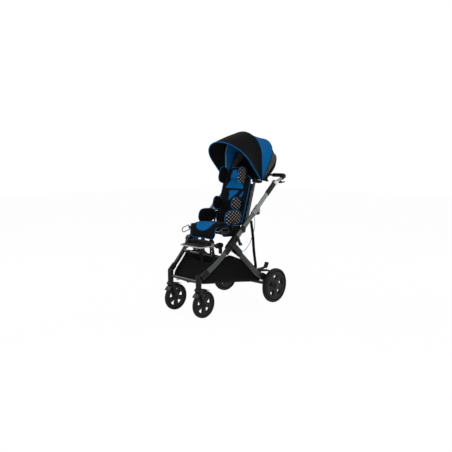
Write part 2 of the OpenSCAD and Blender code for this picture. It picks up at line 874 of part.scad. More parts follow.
// Clevis on the top of the rear leg: two ears on the knuckle pin and a socket for the leg
module leg_clevis() {
    on_side()
        difference() {
            union() {
                for (x = [-ear_out, ear_in])
                    side_plate(x, x + ear_thick) {
                        link(knuckle, on_leg(clevis_to - 30), 48);
                        translate(knuckle)
                            circle(r = ear_r);
                    }
                run(on_leg(leg_from - 4), -leg_steep, clevis_to - leg_from + 4)
                    oval(leg_tall + 8, 2 * ear_out - 1);
            }
            run(on_leg(leg_from), -leg_steep, 200)
                oval(leg_tall, leg_thick);
            pin_x(knuckle, knuckle_pin_d + 2 * running, -60, 60);
        }
}

// Bracket at the foot of the rear leg, with the axle tube on the inside and the wheel pin through it
module axle_bracket() {
    on_side()
        difference() {
            union() {
                run(leg_end - 44 * [cos(leg_flat), -sin(leg_flat)], -leg_flat, 56)
                    square([2 * bracket_half - 1, leg_tall + 9], center = true);
                side_plate(-bracket_half, bracket_half)
                    link(leg_end + [4, -2], axle, 52);
            }
            run(leg_end - 60 * [cos(leg_flat), -sin(leg_flat)], -leg_flat, 60)
                oval(leg_tall, leg_thick);
            pin_x(axle, axle_tube_d, -40, -bracket_half + 8);
            pin_x(axle, axle_d, -40, 40);
        }
}

module rear_axle_tube() {
    half = side_x - bracket_half + 8;
    difference() {
        pin_x(axle, axle_tube_d, -half, half);
        pin_x(axle, axle_tube_d - 2 * tube_wall, -half - 1, half + 1);
    }
}

module rear_axle_pins() {
    both_sides() {
        pin_x(axle, axle_d, side_x - bracket_half + 8, rear_x + rear_tyre_w / 2 + 2);
        pin_x(axle, 20, rear_x + rear_tyre_w / 2 + gap, rear_x + rear_tyre_w / 2 + 7);
    }
}

// Webbing strap from the side tube down to a buckle on the rear leg
module limit_strap() {
    on_side() {
        translate([-strap_w / 2, 0, 0])
            side_plate(0, strap_w)
                link(strap_top, strap_foot, strap_thick);
        translate([-17, 0, 0])
            side_plate(0, 34)
                link(strap_foot + [-1, -8], buckle_foot, 9);
    }
}

module rear_rim_left() {
    translate([rear_x, axle[0], axle[1]])
        rim(rear_rim_r, rear_tyre_w - 10, 18, 50, 20, 46, rear_tyre_w - 2, axle_d / 2 + running);
}

module rear_tyre_left() {
    translate([rear_x, axle[0], axle[1]])
        tyre(rear_r, rear_tyre_deep, rear_tyre_w);
}

// Brake: shaft across both legs with an arm and a shoe at each end, worked by one pedal
module brake_shaft() {
    reach = side_x + brake_arm_in + brake_arm_thick;
    pin_x(brake_at, brake_shaft_d, -reach, reach);
    both_sides() {
        on_side()
            side_plate(brake_arm_in, brake_arm_in + brake_arm_thick)
                link(brake_at, shoe_at, 20);
        pin_x(shoe_at, shoe_d, side_x + brake_arm_in, rear_x + rear_tyre_w / 2 - 4);
    }
}

// S-shaped foot pedal clamped on the brake shaft beside the left leg's eye
module brake_pedal() {
    on_side()
        difference() {
            union() {
                side_plate(-30, -10) {
                    link(brake_at, brake_at + [30, 2], 24);
                    link(brake_at + [30, 2], pedal_bend, 16);
                }
                side_plate(-34, 0)
                    link(pedal_bend, pedal_tip, 16);
            }
            pin_x(brake_at, brake_shaft_d, -40, 0);
        }
}

// Caster fork: stem, crown, two legs and a short fender over the tyre
module caster_fork() {
    hub = [front_y, front_r];
    crown = [swivel_y, fork_top - 8];
    difference() {
        translate([front_x, 0, 0])
            union() {
                translate([0, swivel_y, fork_top - 4])
                    cylinder(d = stem_d, h = housing_top - 16 - fork_top);
                translate([0, swivel_y, fork_top - 10])
                    cylinder(r = housing_r - 2, h = 16);
                side_plate(-fork_out, fork_out)
                    link(crown + [-14, 0], crown + [30, 0], 14);
                for (x = [-fork_out, fork_gap])
                    side_plate(x, x + fork_plate) {
                        link(crown, hub, 34);
                        link(crown + [-14, 0], crown + [30, 0], 14);
                    }
                translate([0, hub[0], hub[1]])
                    rotate([0, 90, 0])
                        rotate([0, 0, fender_from])
                            rotate_extrude(angle = fender_span)
                                translate([fender_in, -fork_out])
                                    square([fender_out - fender_in, 2 * fork_out]);
            }
        translate([front_x, 0, 0]) {
            pin_x(hub, axle_d, -50, 50);
            pin_x(hub, 2 * fender_in, -fork_gap, fork_gap);
        }
    }
}

module front_axle() {
    translate([front_x, 0, 0]) {
        pin_x([front_y, front_r], axle_d, -fork_out, fork_out);
        pin_x([front_y, front_r], 20, fork_out, fork_out + 4);
        pin_x([front_y, front_r], 18, -fork_out - 4, -fork_out);
    }
}

module front_rim() {
    translate([front_x, front_y, front_r])
        rim(front_rim_r, front_tyre_w - 10, 12, 36, 16, 34, front_tyre_w, axle_d / 2 + running);
}

module front_tyre() {
    translate([front_x, front_y, front_r])
        tyre(front_r, front_tyre_deep, front_tyre_w);
}

// Handle post: upper half of the fold joint, oval tube with a sliding bore
module handle_post() {
    on_side()
        difference() {
            union() {
                run(on_tube(post_from), tube_angle, sleeve_top_at - post_from)
                    oval(tube_tall - 2, tube_thick - 2);
                run(on_tube(fold_at + 1), tube_angle, fold_case - 4)
                    oval(tube_tall + 10, tube_thick + 10);
                for (x = [-16, fold_lug_half + 0.4])
                    side_plate(x, x + 16 - fold_lug_half - 0.4)
                        link(fold_pin, on_tube(fold_at + 20, -20), 2 * fold_lug_r);
            }
            run(on_tube(sleeve_top_at - slider_in - 100), tube_angle, slider_in + 110)
                oval(tube_tall - 2 - 2 * post_bore_wall, tube_thick - 2 - 2 * post_bore_wall);
            pin_x(fold_pin, fold_pin_d + 2 * running, -40, 40);
            pin_x(fold_pin, 2 * (fold_lug_r + gap), -fold_lug_half - 0.4, fold_lug_half + 0.4);
        }
}

module post_sleeve() {
    on_side()
        difference() {
            run(on_tube(sleeve_top_at - sleeve_len), tube_angle, sleeve_len)
                oval(tube_tall + 5, tube_thick + 5);
            run(on_tube(sleeve_top_at - sleeve_len - 1), tube_angle, sleeve_len + 2)
                oval(tube_tall - 2, tube_thick - 2);
        }
}

module slider_section(extra) {
    oval(tube_tall - 2 - 2 * post_bore_wall - extra, tube_thick - 2 - 2 * post_bore_wall - extra);
}

module handle_slider() {
    on_side()
        difference() {
            run(on_tube(sleeve_top_at - slider_in), tube_angle, slider_in + slider_out)
                slider_section(2 * running);
            run(on_tube(sleeve_top_at - slider_in - 1), tube_angle, slider_in + slider_out + 2)
                slider_section(2 * tube_wall);
        }
}

// Angle joint of the handle: socket on the slider and two cheeks
module handle_joint_block() {
    on_side()
        difference() {
            union() {
                run(on_tube(sleeve_top_at + gap), tube_angle, 15)
                    oval(tube_tall + 2, tube_thick + 10);
                for (x = [-17, joint_lug_half + 0.5])
                    side_plate(x, x + 17 - joint_lug_half - 0.5)
                        link(handle_joint, on_tube(sleeve_top_at + 12), 2 * joint_lug_r);
                pin_x(handle_joint, 12, -17, 17);
            }
            run(on_tube(sleeve_top_at - 10), tube_angle, 10 + slider_out)
                slider_section(2 * running);
            run(on_tube(sleeve_top_at - 40), tube_angle, 40 + gap)
                square([80, 120], center = true);
            difference() {
                pin_x(handle_joint, 2 * (joint_lug_r + gap), -joint_lug_half - 0.5, joint_lug_half + 0.5);
                pin_x(handle_joint, 12, -17, 17);
            }
        }
}

// Handle bar path, as children at each straight and corner: arms, corners, crossbar
module bar_shape(d, arm_from, cross_half_from) {
    translate([0, handle_joint[0], handle_joint[1]])
        rotate([arm_angle, 0, 0])
            both_sides() {
                rod([side_x, arm_from, 0], [side_x, arm_len - bar_bend, 0], d);
                translate([side_x - bar_bend, arm_len - bar_bend, 0])
                    rotate_extrude(angle = 90)
                        translate([bar_bend, 0])
                            circle(d = d);
                rod([side_x - bar_bend, arm_len, 0], [cross_half_from, arm_len, 0], d);
            }
}

module push_handle() {
    difference() {
        union() {
            bar_shape(bar_d, joint_lug_r + 2, 0);
            both_sides()
                on_side() {
                    pin_x(handle_joint, 2 * joint_lug_r, -joint_lug_half, joint_lug_half);
                    // neck between the joint disc and the arm
                    side_plate(-joint_lug_half + 1, joint_lug_half - 1)
                        link(handle_joint, handle_joint + 34 * [cos(arm_angle), sin(arm_angle)], bar_d - 6);
                }
            on_side() {
                side_plate(-4, 4)
                    link(trigger_at, trigger_at + (bar_d / 2 + 4) * [-sin(arm_angle), cos(arm_angle)], 14);
                pin_x(trigger_at, trigger_pin_d, -9, 9);
            }
        }
        both_sides()
            on_side()
                pin_x(handle_joint, 12 + 2 * running, -30, 30);
    }
}

module handle_grips() {
    difference() {
        bar_shape(grip_d, arm_len - bar_bend - 28, side_x - bar_bend - grip_len);
        bar_shape(bar_d, joint_lug_r + 2, 0);
    }
}

// Tilt trigger: two cheeks on the pin and a finger blade below the arm
module tilt_trigger() {
    blade = [cos(arm_angle), sin(arm_angle)];
    drop = [sin(arm_angle), -cos(arm_angle)];
    on_side()
        difference() {
            union() {
                side_plate(-9, 9)
                    link(trigger_at + 4 * drop, trigger_at - 16 * blade + 6 * drop, 14);
                side_plate(-9, 9)
                    link(trigger_at + 16 * drop + 8 * blade, trigger_at + 22 * drop + 44 * blade, 8);
                side_plate(-9, 9)
                    link(trigger_at + 4 * drop, trigger_at + 16 * drop + 8 * blade, 10);
            }
            pin_x(trigger_at, trigger_pin_d + 2 * running, -10, 10);
            pin_x(trigger_at, 2 * (7 + gap), -4.5, 4.5);
            side_plate(-4.5, 4.5)
                link(trigger_at, trigger_at - 30 * drop, 14 + 2 * gap);
        }
}

// Seat frame: rails, cross bars, side plates with the tilt pins, recline ears and loop pins
module seat_frame() {
    tilt = to_seat(tilt_pin);
    recline = to_seat(recline_pin);
    loop = to_seat(loop_at);
    on_seat() {
        both_sides() {
            rod([rail_x, rail_front, 0], [rail_x, rail_rear, 0], rail_d);
            side_plate(plate_in, plate_out)
                link([-138, -4], [16, -4], 48);
            side_plate(plate_out - 8, plate_out - 0.5)
                link([16, 0], recline, 34);
            side_plate(plate_in + 1, plate_out - 1)
                link([rail_front + 20, 0], loop, 22);
            pin_x(tilt, tilt_pin_d, plate_in + 2, side_x - dock_out - 4);
            pin_x(recline, recline_pin_d, rail_x - cane_d / 2 - 4, plate_out + 2);
            pin_x(loop, loop_pin_d, plate_in + 2, plate_out + loop_wire + 4);
            side_plate(rail_x + 3, rail_x + 9)
                link([-40, 4], [-40, 88], 30);
        }
        for (y = [front_bar, rail_rear - 30])
            rod([-rail_x, y, 0], [rail_x, y, 0], bar_cross_d);
    }
}

module seat_pan() {
    on_seat()
        translate([-rail_x - 2, rail_front, pan_bottom])
            cube([2 * rail_x + 4, rail_rear - rail_front - 12, pan_thick]);
}

module seat_cushion() {
    depth = cushion_front + cushion_rear;
    on_seat()
        translate([0, (cushion_rear - cushion_front) / 2, pan_top + cushion_thick / 2 + 0.3])
            cushion([cushion_w, depth, cushion_thick], lip = cushion_lip, squareness = 4.5);
}

module hip_pads() {
    on_seat()
        both_sides()
            translate([rail_x + 3 - hip_pad[2] / 2 - 0.1, -26, pan_top + cushion_thick + hip_pad[1] / 2 - 15])
                rotate([90, 0, 90])
                    cushion(hip_pad, squareness = 3, draw = 0.02, rings = 10, sides = 32);
}

// Footrest hanger: two perforated bars below the front of the seat
module footrest_hanger() {
    both_sides()
        difference() {
            side_plate(hanger_x - hanger_thick / 2, hanger_x + hanger_thick / 2)
                link(hanger_at - [0, 7], [hanger_y, hanger_bottom + hanger_w / 2], hanger_w);
            for (k = [0 : 3])
                pin_x([hanger_y + 4, hanger_bottom + 20 + 24 * k], 13, 0, 100);
            pin_x(hanger_at, bar_cross_d, -rail_x, rail_x);
        }
}

// Tie loops at the seat's front corners: the right one points forward, the left one is laid back
module tie_loop(turn) {
    translate([plate_out + loop_wire / 2 + 2, loop_at[0], loop_at[1]])
        rotate([turn, 0, 0])
            difference() {
                union() {
                    for (e = [-1, 1])
                        rod([0, 0, e * loop_half], [0, loop_len, e * loop_half], loop_wire);
                    translate([0, loop_len, 0])
                        rotate([0, 90, 0])
                            rotate_extrude(angle = 180)
                                translate([loop_half, 0])
                                    circle(d = loop_wire);
                    rod([0, 0, -loop_half], [0, 0, loop_half], loop_wire);
                    rotate([0, 90, 0])
                        cylinder(r = 9, h = loop_wire, center = true);
                }
                rotate([0, 90, 0])
                    cylinder(d = loop_pin_d + 2 * running, h = 40, center = true);
            }
}

module tie_loops() {
    tie_loop(0);
    mirror([1, 0, 0])
        tie_loop(194);
}

// Carriage that clamps on the hanger bars and carries the foot tray tube in its end blocks
module footrest_carriage() {
    difference() {
        union() {
            pin_x(tray_at + [-16, 0], tray_tube_d, -150, 150);
            both_sides() {
                side_plate(block_in, block_out)
                    link(tray_at + [-16, 0], [hanger_y, tray_z + 4], 40);
                side_plate(block_in + 8, block_out - 8)
                    difference() {
                        link([hanger_y, tray_z], [hanger_y, tray_z - 52], 30);
                        for (k = [1, 2])
                            translate([hanger_y, tray_z - 24 * k])
                                circle(d = 12);
                    }
                side_plate(hanger_x - hanger_thick / 2 - 8, hanger_x + hanger_thick / 2 + 8)
                    link(tray_at + [-16, 0], [hanger_y, tray_z], 30);
                side_plate(hanger_x - hanger_thick / 2 - 8, hanger_x + hanger_thick / 2 + 8)
                    link([hanger_y, tray_z - 12], [hanger_y, tray_z + 12], hanger_w + 12);
            }
        }
        both_sides()
            translate([hanger_x - hanger_thick / 2 - running, hanger_y - hanger_w / 2 - running, tray_z - 80])
                cube([hanger_thick + 2 * running, hanger_w + 2 * running, 160]);
    }
}

// Foot tray: flat plate hinged on the carriage tube
module foot_tray() {
    hinge = tray_at + [-16, 0];
    half = tray_w / 2;
    corner = 30;
    difference() {
        union() {
            translate([0, hinge[0], hinge[1] - tray_thick / 2])
                linear_extrude(height = tray_thick) {
                    translate([-half, -tray_len + corner])
                        square([tray_w, tray_len - corner - 14]);
                    translate([-half + corner, -tray_len])
                        square([tray_w - 2 * corner, corner + 1]);
                    for (e = [-1, 1])
                        translate([e * (half - corner), -tray_len + corner])
                            circle(r = corner);
                }
            both_sides()
                side_plate(90, 112) {
                    translate(hinge)
                        circle(r = tray_eye_r);
                    link(hinge + [0, -6], hinge + [-24, -6], 15);
                }
        }
        pin_x(hinge, tray_tube_d + 2 * running, -160, 160);
        for (x = [-90, 112])
            pin_x(hinge, 2 * (tray_eye_r + 1), x > 0 ? x : -90, x > 0 ? 140 : 90);
        pin_x(hinge, 2 * (tray_eye_r + 1), -140, -112);
    }
}

// Heel cup: low wall round the sides and the back of the tray
module foot_cup() {
    hinge = tray_at + [-16, 0];
    half = tray_w / 2 - 6;
    wall = 9;
    back = -20;
    front = -104;
    translate([0, hinge[0], hinge[1] + tray_thick / 2])
        linear_extrude(height = cup_h)
            difference() {
                translate([-half, front])
                    square([2 * half, back - front]);
                translate([-half + wall, front - 1])
                    square([2 * half - 2 * wall, back - front - wall + 1]);
            }
}

// Back frame: canes that crank down to the recline eyes, and two cross bars
module back_frame() {
    eye = to_back(recline_pin);
    on_back()
        difference() {
            union() {
                both_sides() {
                    rod([rail_x, cane_behind, cane_knee], [rail_x, cane_behind, cane_top], cane_d);
                    translate([rail_x, cane_behind, cane_knee])
                        sphere(d = cane_d);
                    rod([rail_x, eye[0], eye[1]], [rail_x, cane_behind, cane_knee], cane_d);
                    pin_x(eye, 30, rail_x - cane_d / 2, rail_x + cane_d / 2);
                }
                for (z = back_bars)
                    rod([-rail_x, cane_behind + back_bar_behind, z], [rail_x, cane_behind + back_bar_behind, z], back_bar_d);
            }
            pin_x(eye, recline_pin_d + 2 * running, -rail_x - cane_d, rail_x + cane_d);
        }
}

// Back shell: flat panel on the canes, with a guide for the headrest bar
module back_shell() {
    guide_half = slide_bar_w / 2 + 0.3;
    on_back() {
        translate([-rail_x + 4, shell_behind - shell_thick, shell_from])
            cube([2 * rail_x - 8, shell_thick, shell_h]);
        both_sides()
            translate([guide_half, shell_behind - 1, 240])
                cube([12, slide_bar_thick + 2, 110]);
        translate([-guide_half - 12, shell_behind + slide_bar_thick + 0.6, 240])
            cube([2 * guide_half + 24, 3, 110]);
    }
}

module back_cushion() {
    on_back()
        translate([0, shell_behind - shell_thick - back_thick / 2 - 0.3, back_from + back_h / 2])
            rotate([90, 0, 0])
                cushion([back_w, back_h, back_thick], squareness = 4.5, draw = 0.025);
}

module trunk_pads() {
    on_back()
        both_sides()
            translate([108, back_face - trunk_pad[0] / 2 + 2.9, 208])
                rotate([90, 0, 90])
                    cushion(trunk_pad, squareness = 3, draw = 0.02, rings = 10, sides = 32);
}

// Canopy clamp on each cane, with the pin of the bows
module canopy_clamp() {
    on_back()
        difference() {
            union() {
                translate([rail_x - 16, cane_behind - 16, canopy_pivot_up - 16])
                    cube([32, 32, 32]);
                translate([rail_x - 10, cane_behind, canopy_pivot_up - 13])
                    cube([20, canopy_pivot_behind - cane_behind, 26]);
                pin_x([canopy_pivot_behind, canopy_pivot_up], 26, rail_x - 10, eye_from - gap);
                pin_x([canopy_pivot_behind, canopy_pivot_up], canopy_pin_d, rail_x, eye_from + 3 * eye_pitch);
            }
            rod([rail_x, cane_behind, 0], [rail_x, cane_behind, cane_top], cane_d);
        }
}

// Headrest bar: runs in the guide behind the shell, passes over the cushion and holds the head pad in front of it
module headrest_bracket() {
    bar_top = back_from + back_h + 13;
    bar_back = shell_behind + 0.3 + slide_bar_thick;
    on_back() {
        translate([-slide_bar_w / 2, shell_behind + 0.3, 250])
            cube([slide_bar_w, slide_bar_thick, bar_top - 251]);
        translate([-slide_bar_w / 2, head_plate_at + 1, bar_top - 6])
            cube([slide_bar_w, bar_back - head_plate_at - 2, 6]);
        translate([-head_w / 2 + 14, head_plate_at, head_from + 12])
            cube([head_w - 28, head_plate, head_h - 24]);
    }
}

module headrest_pads() {
    on_back() {
        translate([0, head_plate_at - 0.3 - head_thick / 2, head_from + head_h / 2])
            rotate([90, 0, 0])
                cushion([head_w, head_h, head_thick], taper = -0.08, rings = 10, sides = 32);
        both_sides()
            translate([wing_x, back_face - 3 - head_pad[0] / 2, wing_up])
                rotate([90, 0, 90])
                    cushion(head_pad, squareness = 3, draw = 0.02, rings = 10, sides = 32);
    }
}

// Canopy bow: eye on the pivot pin, straight legs and a half round top
module canopy_bow(which, stack) {
    lean = canopy_leans[which];
    half = eye_from + stack * eye_pitch + eye_thick / 2;
    reach = canopy_reaches[which] - cloth - bow_d / 2 - 1.5;
    translate([0, canopy_pivot[0], canopy_pivot[1]])
        rotate([-lean, 0, 0])
            difference() {
                union() {
                    both_sides() {
                        rod([half, 0, 0], [half, 0, reach - half], bow_d);
                        pin_x([0, 0], 18, half - eye_thick / 2, half + eye_thick / 2);
                    }
                    translate([0, 0, reach - half])
                        rotate([90, 0, 0])
                            rotate_extrude(angle = 180)
                                translate([half, 0])
                                    circle(d = bow_d);
                }
                pin_x([0, 0], canopy_pin_d + 2 * running, -300, 300);
            }
}

// Right hand copy of a piece drawn for the left
module right() {
    mirror([1, 0, 0])
        children();
}

module centred() {
    translate([0, -centre_y, 0])
        children();
}

tube_grey = [0.16, 0.18, 0.18];
black = [0.05, 0.05, 0.06];
dark = [0.12, 0.12, 0.13];
silver = [0.62, 0.63, 0.64];
blue = [0.02, 0.22, 0.5];
cloth_black = [0.08, 0.08, 0.09];
mesh_grey = [0.4, 0.4, 0.42];

centred() {
    color(tube_grey) both_sides() on_side() main_tube();  // main_tubes
    color(tube_grey) both_sides() front_tube();  // front_tubes
    color(black) both_sides() knuckle_block();  // knuckles
    color(black) both_sides() caster_housing();  // caster_housings
    color(tube_grey) cross_tubes();
    color(black) both_sides() seat_dock();  // seat_docks
    color(black) both_sides() hinge_base();  // hinge_bases
    color(silver) pivot_pins();
    color(cloth_black) storage_basket();
    color(dark) tilt_cable();
    color(blue) fold_knob();
    color(dark) both_sides() rear_leg();  // rear_legs
    color(black) both_sides() leg_clevis();  // leg_clevises
    color(black) both_sides() axle_bracket();  // axle_brackets
    color(dark) rear_axle_tube();
    color(silver) rear_axle_pins();
    color(cloth_black) both_sides() limit_strap();  // limit_straps
    color(dark) rear_rim_left();
    color(black) rear_tyre_left();
    color(dark) right() rear_rim_left();  // rear_rim_right
    color(black) right() rear_tyre_left();  // rear_tyre_right
    color(black) brake_pedal();
    color(dark) brake_shaft();
    color(black) caster_fork();  // caster_fork_left
    color(silver) front_axle();  // front_axle_left
    color(dark) front_rim();  // front_rim_left
    color(black) front_tyre();  // front_tyre_left
    color(black) right() caster_fork();  // caster_fork_right
    color(silver) right() front_axle();  // front_axle_right
    color(dark) right() front_rim();  // front_rim_right
    color(black) right() front_tyre();  // front_tyre_right
    color(tube_grey) both_sides() handle_post();  // handle_posts
    color(black) both_sides() post_sleeve();  // post_sleeves
    color(silver) both_sides() handle_slider();  // handle_sliders
    color(black) both_sides() handle_joint_block();  // handle_joints
    color(silver) push_handle();
    color(black) handle_grips();
    color(black) tilt_trigger();
    color(dark) seat_frame();
    color(black) seat_pan();
    color(cloth_black) seat_cushion();
    color(cloth_black) hip_pads();
    color(black) footrest_hanger();
    color(silver) tie_loops();
    color(black) footrest_carriage();
    color(dark) foot_tray();
    color(cloth_black) foot_cup();
    color(dark) back_frame();
    color(black) back_shell();
    color(blue) back_cushion();
    color(cloth_black) trunk_pads();
    color(black) both_sides() canopy_clamp();  // canopy_clamps
    color(dark) headrest_bracket();
    color(blue) headrest_pads();
    color(dark) canopy_bow(2, 2);  // canopy_bow_rear
    color(dark) canopy_bow(1, 1);  // canopy_bow_middle
    color(dark) canopy_bow(0, 0);  // canopy_bow_front
    color(mesh_grey) canopy_rear_cloth(10);  // canopy_rear_panel
    color(blue) canopy_panel(1, 18);  // canopy_middle_panel
    color(cloth_black) canopy_panel(0, 10);  // canopy_front_panel
}
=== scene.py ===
import math

import bmesh
import bpy
import numpy as np
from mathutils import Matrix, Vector
from mathutils.bvhtree import BVHTree


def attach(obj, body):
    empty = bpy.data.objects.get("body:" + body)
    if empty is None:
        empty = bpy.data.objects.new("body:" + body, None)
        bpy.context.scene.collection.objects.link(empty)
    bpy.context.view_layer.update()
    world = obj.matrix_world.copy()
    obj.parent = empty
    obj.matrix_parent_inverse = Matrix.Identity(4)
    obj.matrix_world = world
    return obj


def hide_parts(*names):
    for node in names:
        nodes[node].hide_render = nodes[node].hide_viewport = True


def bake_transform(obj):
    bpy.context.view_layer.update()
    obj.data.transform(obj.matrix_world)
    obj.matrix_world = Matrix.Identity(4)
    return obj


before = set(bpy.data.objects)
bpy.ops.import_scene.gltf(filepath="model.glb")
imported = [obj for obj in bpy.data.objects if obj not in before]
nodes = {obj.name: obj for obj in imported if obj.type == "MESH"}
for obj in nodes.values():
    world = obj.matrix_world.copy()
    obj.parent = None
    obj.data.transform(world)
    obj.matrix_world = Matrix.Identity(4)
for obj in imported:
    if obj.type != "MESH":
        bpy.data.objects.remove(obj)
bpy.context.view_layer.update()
scene = bpy.context.scene
scene.view_settings.view_transform = "Standard"
print("frame loaded:", len(nodes), "CAD nodes")


# camera at the photograph's angle: it stands off from the target and looks back at it
photoView = {
    "azimuth": 43.493, "elevation": 7.66, "distance": 4.2,  # degrees, degrees, metres
    "target": (0.060, -0.056046, 0.685), "lens": 39.95,
}


def aimed(name, data, place, target):
    # a camera or lamp that looks at a target
    made = bpy.data.objects.new(name, data)
    made.location = place
    made.rotation_euler = (Vector(target) - Vector(place)).to_track_quat("-Z", "Y").to_euler()
    scene.collection.objects.link(made)
    return made


def addCamera(view):
    turn, lift = math.radians(view["azimuth"]), math.radians(view["elevation"])
    away = Vector((math.sin(turn) * math.cos(lift), -math.cos(turn) * math.cos(lift), math.sin(lift)))
    data = bpy.data.cameras.new("photoCamera")
    data.lens = view["lens"]
    data.sensor_width = 36
    place = Vector(view["target"]) + away * view["distance"]
    scene.camera = aimed("photoCamera", data, place, view["target"])


addCamera(photoView)


def linear(hexColour):
    # sRGB hex to linear red, green, blue and full alpha
    c = np.array([int(hexColour[k:k + 2], 16) for k in (1, 3, 5)]) / 255.0
    c = np.where(c <= 0.04045, c / 12.92, ((c + 0.055) / 1.055) ** 2.4)
    return (*c.tolist(), 1.0)


def put(tree, kind, inputs=None, **settings):
    # adds a node with its settings; an input is a value or another node's output
    made = tree.nodes.new("ShaderNode" + kind)
    for name, value in settings.items():
        setattr(made, name, value)
    for name, value in (inputs or {}).items():
        if isinstance(value, bpy.types.NodeSocket):
            tree.links.new(value, made.inputs[name])
        else:
            made.inputs[name].default_value = value
    return made.outputs


def calc(tree, operation, *values):
    return put(tree, "Math", dict(enumerate(values)), operation=operation)[0]


def newMaterial(name, coordinates="Object"):
    # an empty material, its tree and the coordinates of its texture
    material = bpy.data.materials.new(name)
    material.use_nodes = True
    tree = material.node_tree
    tree.nodes.clear()
    return material, tree, put(tree, "TexCoord")[coordinates]


# soft studio light: three soft boxes and an even world, which the eye and reflections see as plain white
studio = {
    "world": 0.62,
    "boxes": [  # name, place, watts, size
        ("keyBox", (2.9, -3.0, 2.0), 84.0, 1.7),
        ("fillBox", (-3.2, -1.6, 3.0), 60.0, 1.4),
        ("rimBox", (1.2, 3.4, 2.6), 40.0, 1.8),
    ],
    "lookAt": (0.0, 0.0, 0.75),
}


def addLight(setup):
    for name, place, watts, size in setup["boxes"]:
        data = bpy.data.lights.new(name, "AREA")
        data.energy = watts
        data.size = size
        aimed(name, data, place, setup["lookAt"])
    world = bpy.data.worlds.new("studioWorld")
    scene.world = world
    world.use_nodes = True
    tree = world.node_tree
    tree.nodes.clear()
    path = put(tree, "LightPath")
    seen = calc(tree, "MAXIMUM", path["Is Camera Ray"], path["Is Glossy Ray"])
    seen = calc(tree, "MAXIMUM", seen, path["Is Transmission Ray"])
    soft = put(tree, "Background", {"Color": (1, 1, 1, 1), "Strength": setup["world"]})[0]
    white = put(tree, "Background", {"Color": (1, 1, 1, 1), "Strength": 1.0})[0]
    both = put(tree, "MixShader", {0: seen, 1: soft, 2: white})[0]
    put(tree, "OutputWorld", {"Surface": both})


addLight(studio)


def mixed(tree, share, first, second):
    return put(tree, "Mix", {0: share, 6: first, 7: second}, data_type="RGBA")[2]


def toned(tree, share, look):
    return mixed(tree, share, linear(look["dark"]), linear(look["light"]))


def noise(tree, place, size, detail, rough=0.5):
    # size is the real width of the broadest patches, in metres
    inputs = {"Vector": place, "Scale": 1 / size, "Detail": detail, "Roughness": rough}
    return put(tree, "TexNoise", inputs)["Fac"]


def ranged(tree, value, fromLow, fromHigh, toLow=0.0, toHigh=1.0):
    return put(tree, "MapRange", {"Value": value, "From Min": fromLow, "From Max": fromHigh,
                                  "To Min": toLow, "To Max": toHigh})[0]


def bumped(tree, height, strength, distance):
    return put(tree, "Bump", {"Height": height, "Strength": strength, "Distance": distance})[0]


def surfaced(material, inputs):
    # closes a material with its one principled shader
    tree = material.node_tree
    shader = put(tree, "BsdfPrincipled", inputs)[0]
    put(tree, "OutputMaterial", {"Surface": shader})
    return material


def floorPaint():
    # matt white studio floor: the eye gets mostly white, and a small share of it keeps the shadow
    material, tree, place = newMaterial("studioFloorPaint")
    path = put(tree, "LightPath")
    seen = calc(tree, "MAXIMUM", path["Is Camera Ray"], path["Is Glossy Ray"])
    grey = ranged(tree, noise(tree, place, 1.25, 2.0), 0, 1, 0.78, 0.82)
    matt = put(tree, "BsdfDiffuse", {"Color": grey})[0]
    glow = put(tree, "Emission", {"Color": (1, 1, 1, 1), "Strength": 1.0})[0]
    share = calc(tree, "MULTIPLY", seen, 0.97)
    both = put(tree, "MixShader", {0: share, 1: matt, 2: glow})[0]
    put(tree, "OutputMaterial", {"Surface": both})
    return material


def anodisedAluminium(name, look):
    # extruded tube, blasted and dyed in the anodising bath: satin metal, faintly cloudy, with a fine grain
    # black oxide steel looks alike
    material, tree, place = newMaterial(name)
    cloud = noise(tree, place, 0.070, 3.0)
    grain = noise(tree, place, 0.0012, 1.0)  # 0.2 mm grit, drawn coarser
    rub = noise(tree, place, 0.018, 5.0, 0.7)
    return surfaced(material, {
        "Base Color": toned(tree, cloud, look), "Metallic": look["metal"],
        "Roughness": ranged(tree, rub, 0.3, 0.7, look["rough"] - 0.05, look["rough"] + 0.07),
        "Normal": bumped(tree, grain, 0.10, 0.0003), "Specular IOR Level": look["gloss"]})


def mouldedNylon(name, look):
    # glass filled nylon out of a spark eroded mould: a fine leathery grain, a little uneven in its shine
    material, tree, place = newMaterial(name)
    cloud = noise(tree, place, 0.045, 3.0)
    grain = put(tree, "TexVoronoi", {"Vector": place, "Scale": 1 / look["grain"]})["Distance"]
    return surfaced(material, {
        "Base Color": toned(tree, cloud, look), "IOR": 1.52, "Specular IOR Level": 0.17,
        "Roughness": ranged(tree, cloud, 0.3, 0.7, look["rough"] - 0.06, look["rough"] + 0.06),
        "Normal": bumped(tree, grain, 0.22, look["grain"] / 3)})


def vulcanisedRubber(name, look):
    # solid tyre rubber: matt, slightly bloomed, with dust held on the tread
    material, tree, place = newMaterial(name)
    held = ranged(tree, noise(tree, place, 0.022, 6.0, 0.65), 0.42, 0.75)
    skin = noise(tree, place, 0.0016, 2.0)
    return surfaced(material, {
        "Base Color": toned(tree, held, look), "IOR": 1.5, "Specular IOR Level": 0.16,
        "Roughness": ranged(tree, held, 0, 1, 0.58, 0.82), "Normal": bumped(tree, skin, 0.18, 0.0004)})


def gripFoam(name, look):
    # closed cell foam sleeve: dead matt, with a skin of small pores
    material, tree, place = newMaterial(name)
    # 0.8 mm cells, drawn coarser
    pore = put(tree, "TexVoronoi", {"Vector": place, "Scale": 1 / 0.0022})["Distance"]
    cloud = noise(tree, place, 0.030, 3.0)
    return surfaced(material, {
        "Base Color": toned(tree, cloud, look), "IOR": 1.45, "Specular IOR Level": 0.18,
        "Roughness": ranged(tree, cloud, 0, 1, 0.78, 0.92), "Normal": bumped(tree, pore, 0.35, 0.0006)})


